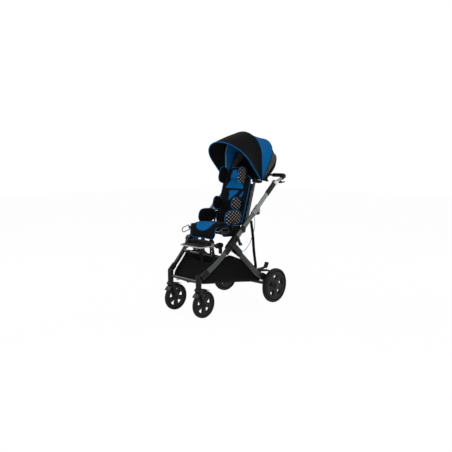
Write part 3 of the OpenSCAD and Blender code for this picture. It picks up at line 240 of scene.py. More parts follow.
def sewnZone(tree, name):
    # a signed distance kept on the mesh, positive inside the zone, as a sharp step
    return ranged(tree, put(tree, "Attribute", attribute_name=name)["Fac"], -0.0006, 0.0006)


def waves(tree, place, length):
    # sine of each coordinate, one wave to a length
    fine = put(tree, "VectorMath", {0: place, "Scale": 2 * math.pi / length}, operation="SCALE")[0]
    return put(tree, "VectorMath", {0: fine}, operation="SINE")[0]


def wovenCloth(name, look):
    # polyester cover cloth: plain weave, matt, slightly uneven in its dye
    # threads: sine of each coordinate, multiplied in pairs and added, gives crossing threads on any face
    # the accent zone has a second colour; the dots zone is spacer mesh, whose dots lie on a diagonal grid
    material, tree, place = newMaterial(name, "UV" if look.get("onUv") else "Object")
    threads = waves(tree, place, look["thread"])
    part = put(tree, "SeparateXYZ", {0: threads})
    shifted = put(tree, "CombineXYZ", {0: part[1], 1: part[2], 2: part[0]})[0]
    weave = put(tree, "VectorMath", {0: threads, 1: shifted}, operation="DOT_PRODUCT")["Value"]
    weave = ranged(tree, weave, -1.0, 1.0)
    cloud = noise(tree, place, 0.050, 4.0)
    crease = noise(tree, place, 0.030, 2.0)
    shade = calc(tree, "MULTIPLY", cloud, weave)
    tone = toned(tree, shade, look)
    if "accent" in look:
        tone = mixed(tree, sewnZone(tree, "accent"), tone, toned(tree, shade, look["accent"]))
    if "dots" in look:
        dots = look["dots"]
        grid = put(tree, "Mapping", {"Vector": place, "Rotation": dots["turn"], "Scale": dots["scale"]})[0]
        axis = put(tree, "SeparateXYZ", {0: waves(tree, grid, 2 * dots["pitch"])})
        spot = calc(tree, "MULTIPLY", *[axis[k] for k in dots["axes"]])
        spot = ranged(tree, calc(tree, "ABSOLUTE", spot), 0.60, 0.80)
        zone = sewnZone(tree, "dots")
        tone = mixed(tree, zone, tone, toned(tree, spot, dots))
        weave = calc(tree, "MULTIPLY_ADD", calc(tree, "MULTIPLY", spot, zone), 2.0, weave)
    bump = put(tree, "Bump", {"Height": weave, "Strength": 0.35, "Distance": look["thread"] / 5,
                              "Normal": bumped(tree, crease, 0.25, 0.004)})[0]
    return surfaced(material, {
        "Base Color": tone, "IOR": 1.45, "Specular IOR Level": 0.05, "Normal": bump,
        "Roughness": ranged(tree, cloud, 0, 1, look["rough"] - 0.08, look["rough"] + 0.08),
        "Sheen Weight": look["sheen"], "Sheen Roughness": 0.5})


blackLook = {"dark": "#080809", "light": "#121213", "thread": 0.0026, "rough": 0.85, "sheen": 0.01}
blueLook = {"dark": "#004C82", "light": "#0066A6", "thread": 0.0026, "rough": 0.85, "sheen": 0.0}
# the mesh has holes every 4 mm: drawn coarser, so that they show
sideDots = {"dark": "#0E0D0D", "light": "#8A827C", "pitch": 0.0195, "turn": (math.radians(45), 0, 0),
            "scale": (1, 0.72, 1), "axes": (1, 2)}
uvDots = {**sideDots, "dark": "#0C0D0D", "light": "#85807B", "turn": (0, 0, math.radians(45)),
          "scale": (1, 1, 1), "axes": (0, 1)}

metals = [  # finish, name, dark, light, roughness, metal share, gloss
    ("graphiteTube", "graphiteAnodisedTube", "#4C524E", "#626965", 0.24, 0.80, 0.5),
    # front tubes: the same tube as the graphite main tubes, given a darker colour and less metal: painted
    # shade of the lower tube
    ("frontTube", "graphiteTubePaintedShade", "#1F2522", "#2D342F", 0.22, 0.40, 1.0),
    ("silverTube", "silverAnodisedTube", "#74787A", "#8C9092", 0.32, 0.90, 0.5),
    ("brightMetal", "satinCastAluminium", "#9A9AA0", "#B9B9C0", 0.34, 0.85, 0.5),
    ("legTube", "greyAnodisedLeg", "#232524", "#333534", 0.30, 0.60, 0.5),
    ("darkSteel", "blackOxideSteel", "#0E0F0F", "#191A1A", 0.40, 0.40, 0.5),
]
nylons = [  # finish, name, dark, light, roughness, grain
    ("blackNylon", "blackGlassNylon", "#060607", "#0D0E0E", 0.44, 0.0014),
    ("greyNylon", "greyGlassNylon", "#070708", "#0F1010", 0.48, 0.0014),
    ("sleeveNylon", "dimpledSleeveNylon", "#0B0B0C", "#161717", 0.50, 0.0060),
    ("blueNylon", "blueGlassNylon", "#062F66", "#0A3F80", 0.38, 0.0014),
    ("trayPlate", "greyTrayPlate", "#8C8C8C", "#A2A2A2", 0.50, 0.0020),
    ("greySheath", "greyCableSheath", "#5A5C5E", "#6E7072", 0.40, 0.0010),
]
cloths = [  # finish, name, look
    ("blackCloth", "blackCoverCloth", blackLook),
    ("backCloth", "blackBlueAndMeshBackCloth", {**blackLook, "accent": blueLook, "dots": sideDots}),
    ("blueCloth", "bluePipingCloth", blueLook),
    ("coverCloth", "blackAndBlueCoverCloth", {**blackLook, "accent": blueLook}),
    ("padCloth", "blackAndMeshPadCloth", {**blackLook, "dots": sideDots}),
    ("headCloth", "headPadCloth", {**blackLook, "accent": blueLook, "dots": sideDots}),
    ("hoodBlack", "blackHoodCloth", {**blackLook, "dark": "#0A0A0B", "light": "#151616", "onUv": True}),
    ("hoodBlue", "blueHoodCloth", {**blueLook, "onUv": True}),
    ("hoodMesh", "meshHoodCloth", {**blackLook, "dots": uvDots, "onUv": True}),
    ("basketCloth", "blackBasketCloth", {**blackLook, "dark": "#080808", "light": "#131313"}),
    ("webbing", "blackNylonWebbing", {**blackLook, "thread": 0.0034, "rough": 0.62, "sheen": 0.05}),
    ("thread", "darkPolyesterThread", {**blackLook, "dark": "#1E1F20", "light": "#303132"}),
]
finish = {
    "floorPaint": floorPaint(),
    "tyreRubber": vulcanisedRubber("blackTyreRubber", {"dark": "#080808", "light": "#141413"}),
    "foam": gripFoam("blackGripFoam", {"dark": "#0D0D0D", "light": "#161616"}),
}
for key, name, dark, light, rough, metal, gloss in metals:
    finish[key] = anodisedAluminium(name, {"dark": dark, "light": light, "rough": rough, "metal": metal,
                                           "gloss": gloss})
for key, name, dark, light, rough, grain in nylons:
    finish[key] = mouldedNylon(name, {"dark": dark, "light": light, "rough": rough, "grain": grain})
for key, name, look in cloths:
    finish[key] = wovenCloth(name, look)
print("materials made:", len(finish))


def gridFaces(rows, columns, wrapRows=False, wrapColumns=False):
    # quads between neighbouring grid points, closed round where a direction wraps
    down, along = np.arange(rows - (not wrapRows)), np.arange(columns - (not wrapColumns))
    i, j = np.meshgrid(down, along, indexing="ij")
    i2, j2 = (i + 1) % rows, (j + 1) % columns
    quads = np.stack([i * columns + j, i2 * columns + j, i2 * columns + j2, i * columns + j2], -1)
    return quads.reshape(-1, 4).tolist()


def cappedFaces(rings, sides):
    # a tube of rings with both ends closed
    last = (rings - 1) * sides
    return gridFaces(rings, sides, False, True) + [list(range(sides)), list(range(last, last + sides))]


def unit(vectors):
    return vectors / np.linalg.norm(vectors, axis=-1, keepdims=True).clip(1e-9)


def signedPower(values, power):
    return np.sign(values) * np.abs(values) ** power


def stacked(*coordinates):
    # points from their coordinates, any of which may be one number or one row of a grid
    return np.stack(np.broadcast_arrays(*coordinates), -1)


def shares(rows, columns):
    # even shares from 0 to 1 down the rows and along the columns of a grid
    return np.linspace(0, 1, rows)[:, None], np.linspace(0, 1, columns)[None, :]


def lengthOf(line):
    return float(np.linalg.norm(np.diff(line, axis=0), axis=1).sum())


def gridArea(points):
    # half the length of each quad's crossed diagonals, added up
    a = points[1:, 1:] - points[:-1, :-1]
    b = points[1:, :-1] - points[:-1, 1:]
    return float(np.linalg.norm(np.cross(a, b), axis=-1).sum() / 2)


def joined(*shapes):
    # several shapes as one list of points and faces
    starts = np.cumsum([0] + [len(points) for points, _ in shapes])
    faces = [[int(start) + k for k in face] for start, (_, shape) in zip(starts, shapes) for face in shape]
    return np.concatenate([points for points, _ in shapes]), faces


def smoothPath(points, count, closed=False):
    # a curve through every point (Catmull-Rom), each span cut evenly
    p = np.asarray(points, float)
    if closed:
        p = np.concatenate([p[-1:], p, p[:2]])
    else:
        p = np.concatenate([2 * p[:1] - p[1:2], p, 2 * p[-1:] - p[-2:-1]])
    t = np.linspace(0, len(p) - 3, count, endpoint=not closed)
    i = np.minimum(t.astype(int), len(p) - 4)
    f = (t - i)[:, None]
    a, b, c, d = p[i], p[i + 1], p[i + 2], p[i + 3]
    curve = 2 * b + (c - a) * f + (2 * a - 5 * b + 4 * c - d) * f ** 2 + (3 * b - a - 3 * c + d) * f ** 3
    return curve / 2


def sweep(path, section, closed=False, up=(0, 0, 1), size=None):
    # carries a flat section along a path, its first axis across path and upright, its second near the upright
    path, section = np.asarray(path, float), np.asarray(section, float)
    ahead = unit(np.roll(path, -1, 0) - np.roll(path, 1, 0) if closed else np.gradient(path, axis=0))
    across = unit(np.cross(ahead, np.broadcast_to(np.asarray(up, float), path.shape)))
    lift = np.cross(across, ahead)
    grow = np.ones(len(path)) if size is None else np.asarray(size, float)
    rings = section[None, :, :1] * across[:, None] + section[None, :, 1:] * lift[:, None]
    points = path[:, None] + grow[:, None, None] * rings
    counts = len(path), len(section)
    return points.reshape(-1, 3), gridFaces(*counts, True, True) if closed else cappedFaces(*counts)


def ovalSection(wide, tall, sides=12, square=2.0):
    # superellipse: signed cosine and sine raised to 2 / square
    a = np.arange(sides) * 2 * math.pi / sides
    x, y = signedPower(np.cos(a), 2 / square), signedPower(np.sin(a), 2 / square)
    return stacked(wide / 2 * x, tall / 2 * y)


def turned(profile, centre, segments, press=None):
    # a closed profile of (radius, along the axle) points turned about an axle that lies along X
    # press takes off from the radius, as a function of the turn and the profile
    a = (np.arange(segments) * 2 * math.pi / segments)[:, None]
    radius = profile[None, :, 0] - (0 * a if press is None else press(a, profile))
    y, z = centre[1] + radius * np.cos(a), centre[2] + radius * np.sin(a)
    points = stacked(centre[0] + profile[None, :, 1], y, z)
    return points.reshape(-1, 3), gridFaces(segments, len(profile), True, True)


def shadedSmooth(mesh):
    mesh.polygons.foreach_set("use_smooth", np.ones(len(mesh.polygons), bool))


def addPiece(name, mesh, look, body, node):
    # a smooth mesh with its finish; it rides a body and replaces a CAD node where those are given
    shadedSmooth(mesh)
    made = bpy.data.objects.new(name, mesh)
    scene.collection.objects.link(made)
    mesh.materials.clear()
    mesh.materials.append(finish[look])
    if body:
        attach(made, body)
    if node:
        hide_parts(node)
    return made


def addMesh(name, shape, look, body=None, node=None, uv=None):
    # a piece from points and faces, all faces turned outwards; uv is in metres of cloth
    points, faces = shape
    mesh = bpy.data.meshes.new(name)
    mesh.from_pydata(np.asarray(points).reshape(-1, 3).tolist(), [], faces)
    if uv is not None:
        corner = np.zeros(len(mesh.loops), np.int32)
        mesh.loops.foreach_get("vertex_index", corner)
        mesh.uv_layers.new(name="clothMetres").data.foreach_set("uv", uv.reshape(-1, 2)[corner].ravel())
    shapeEdit = bmesh.new()
    shapeEdit.from_mesh(mesh)
    bmesh.ops.recalc_face_normals(shapeEdit, faces=shapeEdit.faces)
    shapeEdit.to_mesh(mesh)
    shapeEdit.free()
    return addPiece(name, mesh, look, body, node)


def applied(piece):
    # the piece with its modifiers worked into its mesh
    graph = bpy.context.evaluated_depsgraph_get()
    mesh = bpy.data.meshes.new_from_object(piece.evaluated_get(graph))
    piece.modifiers.clear()
    piece.data = mesh
    shadedSmooth(mesh)
    return piece


def thickened(piece, thick):
    # cloth gets its wall, half to each side
    wall = piece.modifiers.new("clothThickness", "SOLIDIFY")
    wall.thickness = thick
    wall.offset = 0
    return applied(piece)


def addCloth(name, points, thick, look, body=None, node=None, uv=None):
    return thickened(addMesh(name, (points, gridFaces(*points.shape[:2])), look, body, node, uv), thick)


def roundEdges(piece, radius, segments, sharpest):
    bevel = piece.modifiers.new("roundedEdges", "BEVEL")
    bevel.width = radius
    bevel.segments = segments
    bevel.angle_limit = math.radians(sharpest)
    return bevel


def pointsOf(mesh):
    out = np.zeros(len(mesh.vertices) * 3)
    mesh.vertices.foreach_get("co", out)
    return out.reshape(-1, 3)


def keepDistance(piece, name, values):
    piece.data.attributes.new(name, "FLOAT", "POINT").data.foreach_set("value", values.astype(np.float32))


def insideDistance(points, outline):
    # distance in a plane to a closed outline, positive inside it
    a = np.asarray(outline, float)
    edge = np.roll(a, -1, 0) - a
    away = points[:, None] - a
    t = np.clip((away * edge).sum(-1) / np.maximum((edge ** 2).sum(-1), 1e-12), 0, 1)
    near = np.linalg.norm(away - t[..., None] * edge, axis=-1).min(1)
    above = points[:, None, 1] >= a[:, 1]
    spans = above != (points[:, None, 1] >= np.roll(a, -1, 0)[:, 1])
    slope = edge[:, 0] / np.where(np.abs(edge[:, 1]) < 1e-9, 1e-9, edge[:, 1])
    crosses = spans & (points[:, None, 0] < a[:, 0] + away[..., 1] * slope)
    return np.where(crosses.sum(1) % 2 == 1, near, -near)


floorHalf = 14.0
corners = np.array([[-1, -1, 0], [1, -1, 0], [1, 1, 0], [-1, 1, 0]]) * floorHalf
addMesh("studioFloor", (corners, [[0, 1, 2, 3]]), "floorPaint")


# CAD nodes whose shape is right keep it and get a finish
dressed = {
    "graphiteTube": ["main_tubes"],
    "frontTube": ["front_tubes"],
    "silverTube": ["handle_posts", "push_handle", "canopy_bow_middle"],
    "brightMetal": ["handle_sliders"],
    "legTube": ["rear_legs", "cross_tubes", "back_frame", "tie_loops"],
    "darkSteel": ["rear_axle_tube", "brake_shaft", "seat_frame", "pivot_pins", "rear_axle_pins",
                  "front_axle_left", "front_axle_right"],
    "blackCloth": ["canopy_bow_rear", "canopy_bow_front"],  # sewn into sleeves of the hood cloth
}
for look, names in dressed.items():
    for name in names:
        nodes[name].data.materials.clear()
        nodes[name].data.materials.append(finish[look])


# mouldings: a copy of the CAD mesh, its doubles merged, its flat faces made whole and its edges rounded
mouldings = [  # node, body, finish, slot, edge radius
    ("knuckles", "chassis", "blackNylon", "black_moulding", 0.0022),
    ("caster_housings", "chassis", "blackNylon", "black_moulding", 0.0022),
    ("seat_docks", "chassis", "blackNylon", "black_moulding", 0.0020),
    ("hinge_bases", "chassis", "silverTube", "silver_metal", 0.0016),
    ("fold_knob", "fold_knob", "blueNylon", "blue_moulding", 0.0022),
    ("leg_clevises", "rear_frame", "blackNylon", "black_moulding", 0.0018),
    ("axle_brackets", "rear_frame", "blackNylon", "black_moulding", 0.0020),
    ("brake_pedal", "brake", "blackNylon", "black_moulding", 0.0024),
    ("caster_fork_left", "caster_left", "greyNylon", "black_moulding", 0.0020),
    ("caster_fork_right", "caster_right", "greyNylon", "black_moulding", 0.0020),
    ("post_sleeves", "handle_posts", "sleeveNylon", "black_moulding", 0.0016),
    ("handle_joints", "handle_slider", "brightMetal", "silver_metal", 0.0020),
    ("handle_grips", "push_handle", "foam", "grip_foam", 0.0040),
    ("tilt_trigger", "tilt_trigger", "blackNylon", "black_moulding", 0.0014),
    ("seat_pan", "seat", "blackNylon", "black_moulding", 0.0014),
    ("footrest_hanger", "seat", "darkSteel", "dark_metal", 0.0012),
    ("footrest_carriage", "footrest", "blackNylon", "black_moulding", 0.0020),
    ("foot_tray", "foot_tray", "trayPlate", "silver_metal", 0.0020),
    ("back_shell", "backrest", "blackNylon", "black_moulding", 0.0020),
    ("canopy_clamps", "backrest", "blackNylon", "black_moulding", 0.0018),
    ("headrest_bracket", "headrest", "darkSteel", "dark_metal", 0.0012),
]


def softened(node, body, look, slot, radius):
    mesh = nodes[node].data.copy()
    shape = bmesh.new()
    shape.from_mesh(mesh)
    bmesh.ops.remove_doubles(shape, verts=shape.verts, dist=2e-5)
    bmesh.ops.dissolve_limit(shape, angle_limit=math.radians(1.0), verts=shape.verts, edges=shape.edges)
    for edge in shape.edges:
        edge.smooth = True
    shape.to_mesh(mesh)
    shape.free()
    words = node.split("_")
    name = words[0] + "".join(word.title() for word in words[1:]) + "Moulding"
    made = addPiece(name, mesh, look, body, node)
    roundEdges(made, radius, 3, 34).harden_normals = True


for row in mouldings:
    softened(*row)
print("mouldings rounded:", len(mouldings))


# foot tray: a ribbed black mat on its top, set in from the grey edge
mat = {"half": 0.119, "from": -0.4075, "to": -0.268, "top": 0.554, "thick": 0.0032, "corner": 7.0, "ribs": 26,
       "rise": 0.0007}


def matShape(m, rings=26, sides=140):
    # superellipse rings shrink to the middle at full height after those of the edge; cosine ribs run across
    a = np.arange(sides)[None, :] * 2 * math.pi / sides
    share = np.concatenate([[1.0, 1.0, 0.99], np.linspace(0.97, 0.02, rings)])[:, None]
    x = share * m["half"] * signedPower(np.cos(a), 2 / m["corner"])
    half, middle = (m["to"] - m["from"]) / 2, (m["to"] + m["from"]) / 2
    y = share * half * signedPower(np.sin(a), 2 / m["corner"])
    rise = np.concatenate([[0.0003, 0.75, 0.95], np.ones(rings)])[:, None] * m["thick"]
    rib = m["rise"] * np.cos(2 * math.pi * m["ribs"] * x / (2 * m["half"])) * (share < 0.95)
    points = stacked(x, y + middle, m["top"] + rise + rib)
    return points.reshape(-1, 3), cappedFaces(len(share), sides)


# heel cup: a moulded wall round the sides and the back of the tray, lower at its open ends
heelCup = {"half": 0.1165, "front": -0.3525, "back": -0.2745, "base": 0.5541, "tall": 0.0350, "ends": 0.60,
           "wall": 0.0085, "corner": 5.0, "flare": 0.0008}


def heelCupShape(c, count=110, sides=20):
    # a superellipse section goes round a superellipse plan; its height follows a sine, its top flares out
    a = np.linspace(0, math.pi, count)
    plan = stacked(c["half"] * signedPower(np.cos(a), 2 / c["corner"]),
                   c["front"] + (c["back"] - c["front"]) * np.sin(a).clip(0) ** (2 / c["corner"]), 0)
    plan = smoothPath(plan, 5 * count)[::5]
    across = np.cross(unit(np.gradient(plan, axis=0)), [0, 0, 1.0])
    ring = ovalSection(c["wall"], 1.0, sides, 3.2)
    tall = c["tall"] * (c["ends"] + (1 - c["ends"]) * np.sin(a) ** 0.7)
    rise = ring[None, :, 1] + 0.5
    points = plan[:, None] + (ring[None, :, :1] + c["flare"] * rise[..., None] ** 2) * across[:, None]
    points[..., 2] = c["base"] + rise * tall[:, None]
    return points.reshape(-1, 3), cappedFaces(count, sides)


addMesh("heelCup", heelCupShape(heelCup), "blackNylon", "foot_tray", "foot_cup")
addMesh("footTrayMat", matShape(mat), "tyreRubber", "foot_tray")


# wheels: a turned rim and hub joined by flared spokes, and a tyre with a grooved tread
wheels = {
    "rear": {"centre": (0.294, 0.311454, 0.150), "radius": 0.150, "deep": 0.026, "tyreWide": 0.044,
             "rimWide": 0.034, "ring": 0.031, "hub": 0.051, "hubWide": 0.042, "bore": 0.00605,
             "spokeMid": 0.057, "spokeEnd": 0.096, "spokeThick": 0.030, "spokes": 5, "turn": 54.0},
    "front": {"centre": (0.166, -0.423546, 0.110), "radius": 0.110, "deep": 0.022, "tyreWide": 0.038,
              "rimWide": 0.028, "ring": 0.015, "hub": 0.034, "hubWide": 0.038, "bore": 0.00605,
              "spokeMid": 0.040, "spokeEnd": 0.060, "spokeThick": 0.022, "spokes": 5, "turn": 54.0},
}


# tread: grooves at a share of the half width, and sipes outside another share
tread = {"deep": 0.0022, "grooveAt": 0.34, "grooveWide": 0.0016, "sipes": 40, "sipesFrom": 0.42}


def mirrored(profile):
    # one side of a wheel's profile, and the other side after it
    return np.concatenate([profile, np.array(profile)[::-1] * [1, -1]])


def rimShape(w, centre, steps=14):
    # ring: a channel with rounded lips; hub: a stepped boss; spoke: a rounded bar that widens to both ends
    outer, half = w["radius"] - w["deep"], w["rimWide"] / 2
    inner = outer - w["ring"]
    ring = [(outer, half - .002), (outer - .002, half), (inner + .003, half), (inner, half - .003),
            (inner - .003, half * .35)]
    hub, wide = w["hub"], w["hubWide"] / 2
    boss = [(w["bore"], wide), (hub * .55, wide), (hub * .62, wide - .003), (hub * .9, wide - .004),
            (hub, wide - .008)]
    shapes = [turned(mirrored(ring), centre, 96), turned(mirrored(boss), centre, 64)]
    along = np.linspace(hub - .004, inner + .001, steps)[:, None]
    swell = np.abs(2 * (along - hub) / (inner - hub) - 1).clip(0, 1.2) ** 2.6
    wideness = (w["spokeMid"] + (w["spokeEnd"] * (along / inner) - w["spokeMid"]) * swell).clip(.012)
    around = ovalSection(1, 1, 20, 4.5)
    side = wideness * around[None, :, 0]
    x = centre[0] + w["spokeThick"] * around[None, :, 1]
    for k in range(w["spokes"]):
        a = math.radians(w["turn"] + 360 * k / w["spokes"])
        y = centre[1] + along * math.cos(a) - side * math.sin(a)
        z = centre[2] + along * math.sin(a) + side * math.cos(a)
        shapes.append((stacked(x, y, z).reshape(-1, 3), cappedFaces(steps, len(around))))
    return joined(*shapes)


def tyreShape(w, centre):
    # superellipse section; two grooves run round the tread and slanted sipes cross its shoulders
    section = ovalSection(w["deep"] - .0006, w["tyreWide"], 44, 2.5)
    profile = stacked(section[:, 0] + w["radius"] - w["deep"] / 2 - .0003, section[:, 1])
    half = w["tyreWide"] / 2

    def press(a, p):
        out = np.clip((p[None, :, 0] - (w["radius"] - w["deep"] * .62)) / (w["deep"] * .3), 0, 1)
        x = p[None, :, 1]
        run = np.exp(-((np.abs(x) - half * tread["grooveAt"]) / tread["grooveWide"]) ** 2)
        slant = np.cos(a * tread["sipes"] + np.sign(x) * 1.2 + x / half * 2.4)
        sipe = np.clip((slant - .55) / .3, 0, 1) * (np.abs(x) > half * tread["sipesFrom"])
        return out * tread["deep"] * np.maximum(run, sipe)

    return turned(profile, centre, 320, press)


for end, w in wheels.items():
    for side, sign in (("left", 1), ("right", -1)):
        centre = (sign * w["centre"][0], w["centre"][1], w["centre"][2])
        body = f"{end}_wheel_{side}"
        rim = addMesh(f"{end}Wheel{side.title()}", rimShape(w, centre), "greyNylon", body,
                      f"{end}_rim_{side}")
        roundEdges(rim, 0.001, 2, 50)
        addMesh(f"{end}Tyre{side.title()}", tyreShape(w, centre), "tyreRubber", body,
                f"{end}_tyre_{side}")
print("wheels made")


# seat and back frames: local y runs behind, z up, each turned about X
places = {
    "seat": {"origin": (0.0, -0.056046, 0.640), "turn": -3.6},
    "back": {"origin": (0.0, 0.018954, 0.650), "turn": -17.0},
}


def turnedX(points, degrees):
    a = math.radians(degrees)
    y = points[..., 1] * math.cos(a) - points[..., 2] * math.sin(a)
    z = points[..., 1] * math.sin(a) + points[..., 2] * math.cos(a)
    return stacked(points[..., 0], y, z)


def toRow(points, place):
    return turnedX(points, place["turn"]) + np.array(place["origin"])


def fromRow(points, place):
    return turnedX(points - np.array(place["origin"]), -place["turn"])


def padRim(pad, turns):
    # superellipse outline whose sides are drawn in between the corners
    u, v = signedPower(np.cos(turns), 2 / pad["square"]), signedPower(np.sin(turns), 2 / pad["square"])
    x = pad["size"][0] / 2 * u * (1 - pad["draw"] * (1 - v * v)) * (1 + pad.get("taper", 0) * v)
    return x, pad["size"][1] / 2 * v * (1 - pad["draw"] * (1 - u * u))


def rolled(local, pad):
    # the front of a cover turns down over a roll: the run past its start becomes an angle, then a drop
    roll, top = pad["roll"], pad["size"][2] / 2
    run = np.clip(roll["from"] - local[..., 1], 0, None)
    a = np.minimum(run / roll["radius"], math.pi / 2)
    out = roll["radius"] + (local[..., 2] - top) * (1 - roll["thin"] * np.sin(a) ** 2)
    drop = np.clip(run - roll["radius"] * math.pi / 2, 0, None)
    y = np.maximum(local[..., 1], roll["from"]) - out * np.sin(a)
    return stacked(local[..., 0], y, top - roll["radius"] + out * np.cos(a) - drop)


def unrolled(points, pad):
    # where a point of a rolled cover lies on the flat cloth: across, and the run past the start of the roll
    roll, top = pad["roll"], pad["size"][2] / 2
    local = fromRow(points, places[pad["place"]]) - np.array(pad["at"])
    ahead, high = roll["from"] - local[:, 1], local[:, 2] - top + roll["radius"]
    turn = roll["radius"] * np.arctan2(np.maximum(ahead, 0), np.maximum(high, 0))
    run = np.where(ahead < 0, ahead, turn + np.where(ahead > 0, np.maximum(-high, 0), 0))
    return stacked(local[:, 0], run)


def padPlace(pad, local):
    # a pad may roll over its front and lean along its length, and is then turned to its facing and placed
    if "roll" in pad:
        local = rolled(local, pad)
    x, y, z = local[..., 0] + pad.get("lean", 0) * local[..., 1], local[..., 1], local[..., 2]
    if pad["facing"] == "upright":
        local = stacked(x, -z, y)
    elif pad["facing"] == "sideways":
        local = stacked(z, x, y)
    return toRow(local + np.array(pad["at"]), places[pad["place"]])


def padShape(pad, rings=34, sides=128, shrink=0.0):
    # rings shrink to each face as a root of a sine while their height follows a cosine
    # a small root gives a boxed edge
    x, y = padRim(pad, np.arange(sides) * 2 * math.pi / sides)
    i = np.arange(1, rings)[:, None] / rings
    share = np.sin(math.pi * i) ** pad["edge"]
    high = pad["size"][2] / 2 * np.cos(math.pi * i)
    body = stacked(share * x, share * y, high).reshape(-1, 3) * (1 - 2 * shrink / np.array(pad["size"]))
    tip = pad["size"][2] / 2 - shrink
    local = np.concatenate([body, [[0, 0, tip], [0, 0, -tip]]])
    n, last = len(body), (rings - 2) * sides
    ends = [[n, k, (k + 1) % sides] for k in range(sides)]
    ends += [[n + 1, last + (k + 1) % sides, last + k] for k in range(sides)]
    return padPlace(pad, local), gridFaces(rings - 1, sides, False, True) + ends


def plump(piece, voxel, cap):
    # an even mesh of the cover swells under air pressure, and no point moves further than the cap
    remesh = piece.modifiers.new("evenMesh", "REMESH")
    remesh.mode = "VOXEL"
    remesh.voxel_size = voxel
    ease = piece.modifiers.new("ease", "SMOOTH")
    ease.factor = 0.5
    ease.iterations = 5
    applied(piece)
    before = pointsOf(piece.data)
    cloth = piece.modifiers.new("air", "CLOTH")
    cloth.settings.quality = 5
    cloth.settings.use_pressure = True
    cloth.settings.uniform_pressure_force = 4.0
    cloth.settings.effector_weights.gravity = 0
    cloth.settings.tension_stiffness = 12
    cloth.settings.compression_stiffness = 12
    cloth.settings.bending_stiffness = 0.4
    cloth.point_cache.frame_start = 1
    cloth.point_cache.frame_end = 16
    for step in range(1, 17):
        scene.frame_set(step)
    after = pointsOf(piece.evaluated_get(bpy.context.evaluated_depsgraph_get()).data)
    piece.modifiers.remove(cloth)
    scene.frame_set(1)
    move = after - before
    far = np.linalg.norm(move, axis=1, keepdims=True)
    move *= np.minimum(1, cap / np.maximum(far, 1e-9))
    piece.data.vertices.foreach_set("co", (before + move).ravel())
    piece.data.update()
    return piece


def pressSeam(piece, distance, depth, spread):
    # a sewn line pulls the cover in: each point sinks along its normal by a bell curve of its distance to it
    mesh = piece.data
    normals = np.zeros(len(mesh.vertices) * 3)
    mesh.vertices.foreach_get("normal", normals)
    sink = depth * np.exp(-(distance / spread) ** 2)
    mesh.vertices.foreach_set("co", (pointsOf(mesh) - sink[:, None] * normals.reshape(-1, 3)).ravel())
    mesh.update()


def onSurface(piece, path, out=0.0):
    # moves each point of a path to the nearest place on the piece, and a little out of it
    tree = BVHTree.FromObject(piece, bpy.context.evaluated_depsgraph_get())
    hits = [tree.find_nearest(Vector(p)) for p in path]
    return np.array([hit[0] + hit[1] * out for hit in hits])


def even(path, closed):
    # takes the jitter out of a path that was moved to a surface
    for _ in range(3):
        eased = (np.roll(path, 1, 0) + 2 * path + np.roll(path, -1, 0)) / 4
        if not closed:
            eased[0], eased[-1] = path[0], path[-1]
        path = eased
    return path


def addPiping(name, piece, paths, body, closed=True, radius=0.0032):
    # a cord sewn in the edge seam: a round section along the seam, half sunk in the cover
    shapes = []
    for path in paths:
        path = even(onSurface(piece, path, radius * .35), closed)
        flat = np.linalg.svd(path - path.mean(0))[2][2]
        shapes.append(sweep(path, ovalSection(2 * radius, 2 * radius, 10), closed, flat))
    addMesh(name, joined(*shapes), "blueCloth", body)


def stitchRow(path, pitch=0.009, length=0.0058, radius=0.0009):
    # thread shows as short spindles: three rings of five points along the path, at even steps of its length
    # real stitches are 3 mm long: drawn longer, so that they show
    path = np.asarray(path, float)
    run = np.concatenate([[0], np.cumsum(np.linalg.norm(np.diff(path, axis=0), axis=1))])
    stops = np.arange(pitch / 2, run[-1], pitch)
    centre = np.stack([np.interp(stops, run, path[:, k]) for k in range(3)], -1)
    ahead = unit(np.stack([np.interp(stops + .001, run, path[:, k]) for k in range(3)], -1) - centre)
    across = unit(np.cross(ahead, [0.31, 0.52, 0.79]))
    lift = np.cross(across, ahead)
    a = np.arange(5)[:, None] * 2 * math.pi / 5
    along, wide = np.array([-.5, 0, .5]) * length, np.array([.4, 1, .4]) * radius
    ring = wide[:, None, None] * (np.cos(a) * across[:, None, None] + np.sin(a) * lift[:, None, None])
    points = centre[:, None, None] + along[:, None, None] * ahead[:, None, None] + ring
    spindle = cappedFaces(3, 5)
    return points.reshape(-1, 3), [[15 * n + k for k in face] for n in range(len(stops)) for face in spindle]


stitchProud = 0.0008


def addStitches(name, paths, body):
    addMesh(name, joined(*[stitchRow(path) for path in paths]), "thread", body)


def addPad(name, pads, node, look, voxel, cap):
    # the pads of one node as one cover, made a little small so that it swells to its size
    piece = addMesh(name, joined(*[padShape(pad, shrink=cap * .45) for pad in pads]), look)
    plump(piece, voxel, cap)
    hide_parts(node)
    return piece


def finishPad(piece, body):
    smooth = piece.modifiers.new("smooth", "SUBSURF")
    smooth.levels = smooth.render_levels = 1
    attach(piece, body)


def localOf(piece, pad):
    return fromRow(pointsOf(piece.data), places[pad["place"]])


def rimPath(pad, count=220, height=0.0, first=0.0, last=360.0):
    # the pad's edge line at a height in its thickness, between two turns
    whole = last - first >= 360
    turns = np.radians(np.linspace(first, last, count, endpoint=not whole))
    x, y = padRim(pad, turns)
    return padPlace(pad, stacked(x, y, height))


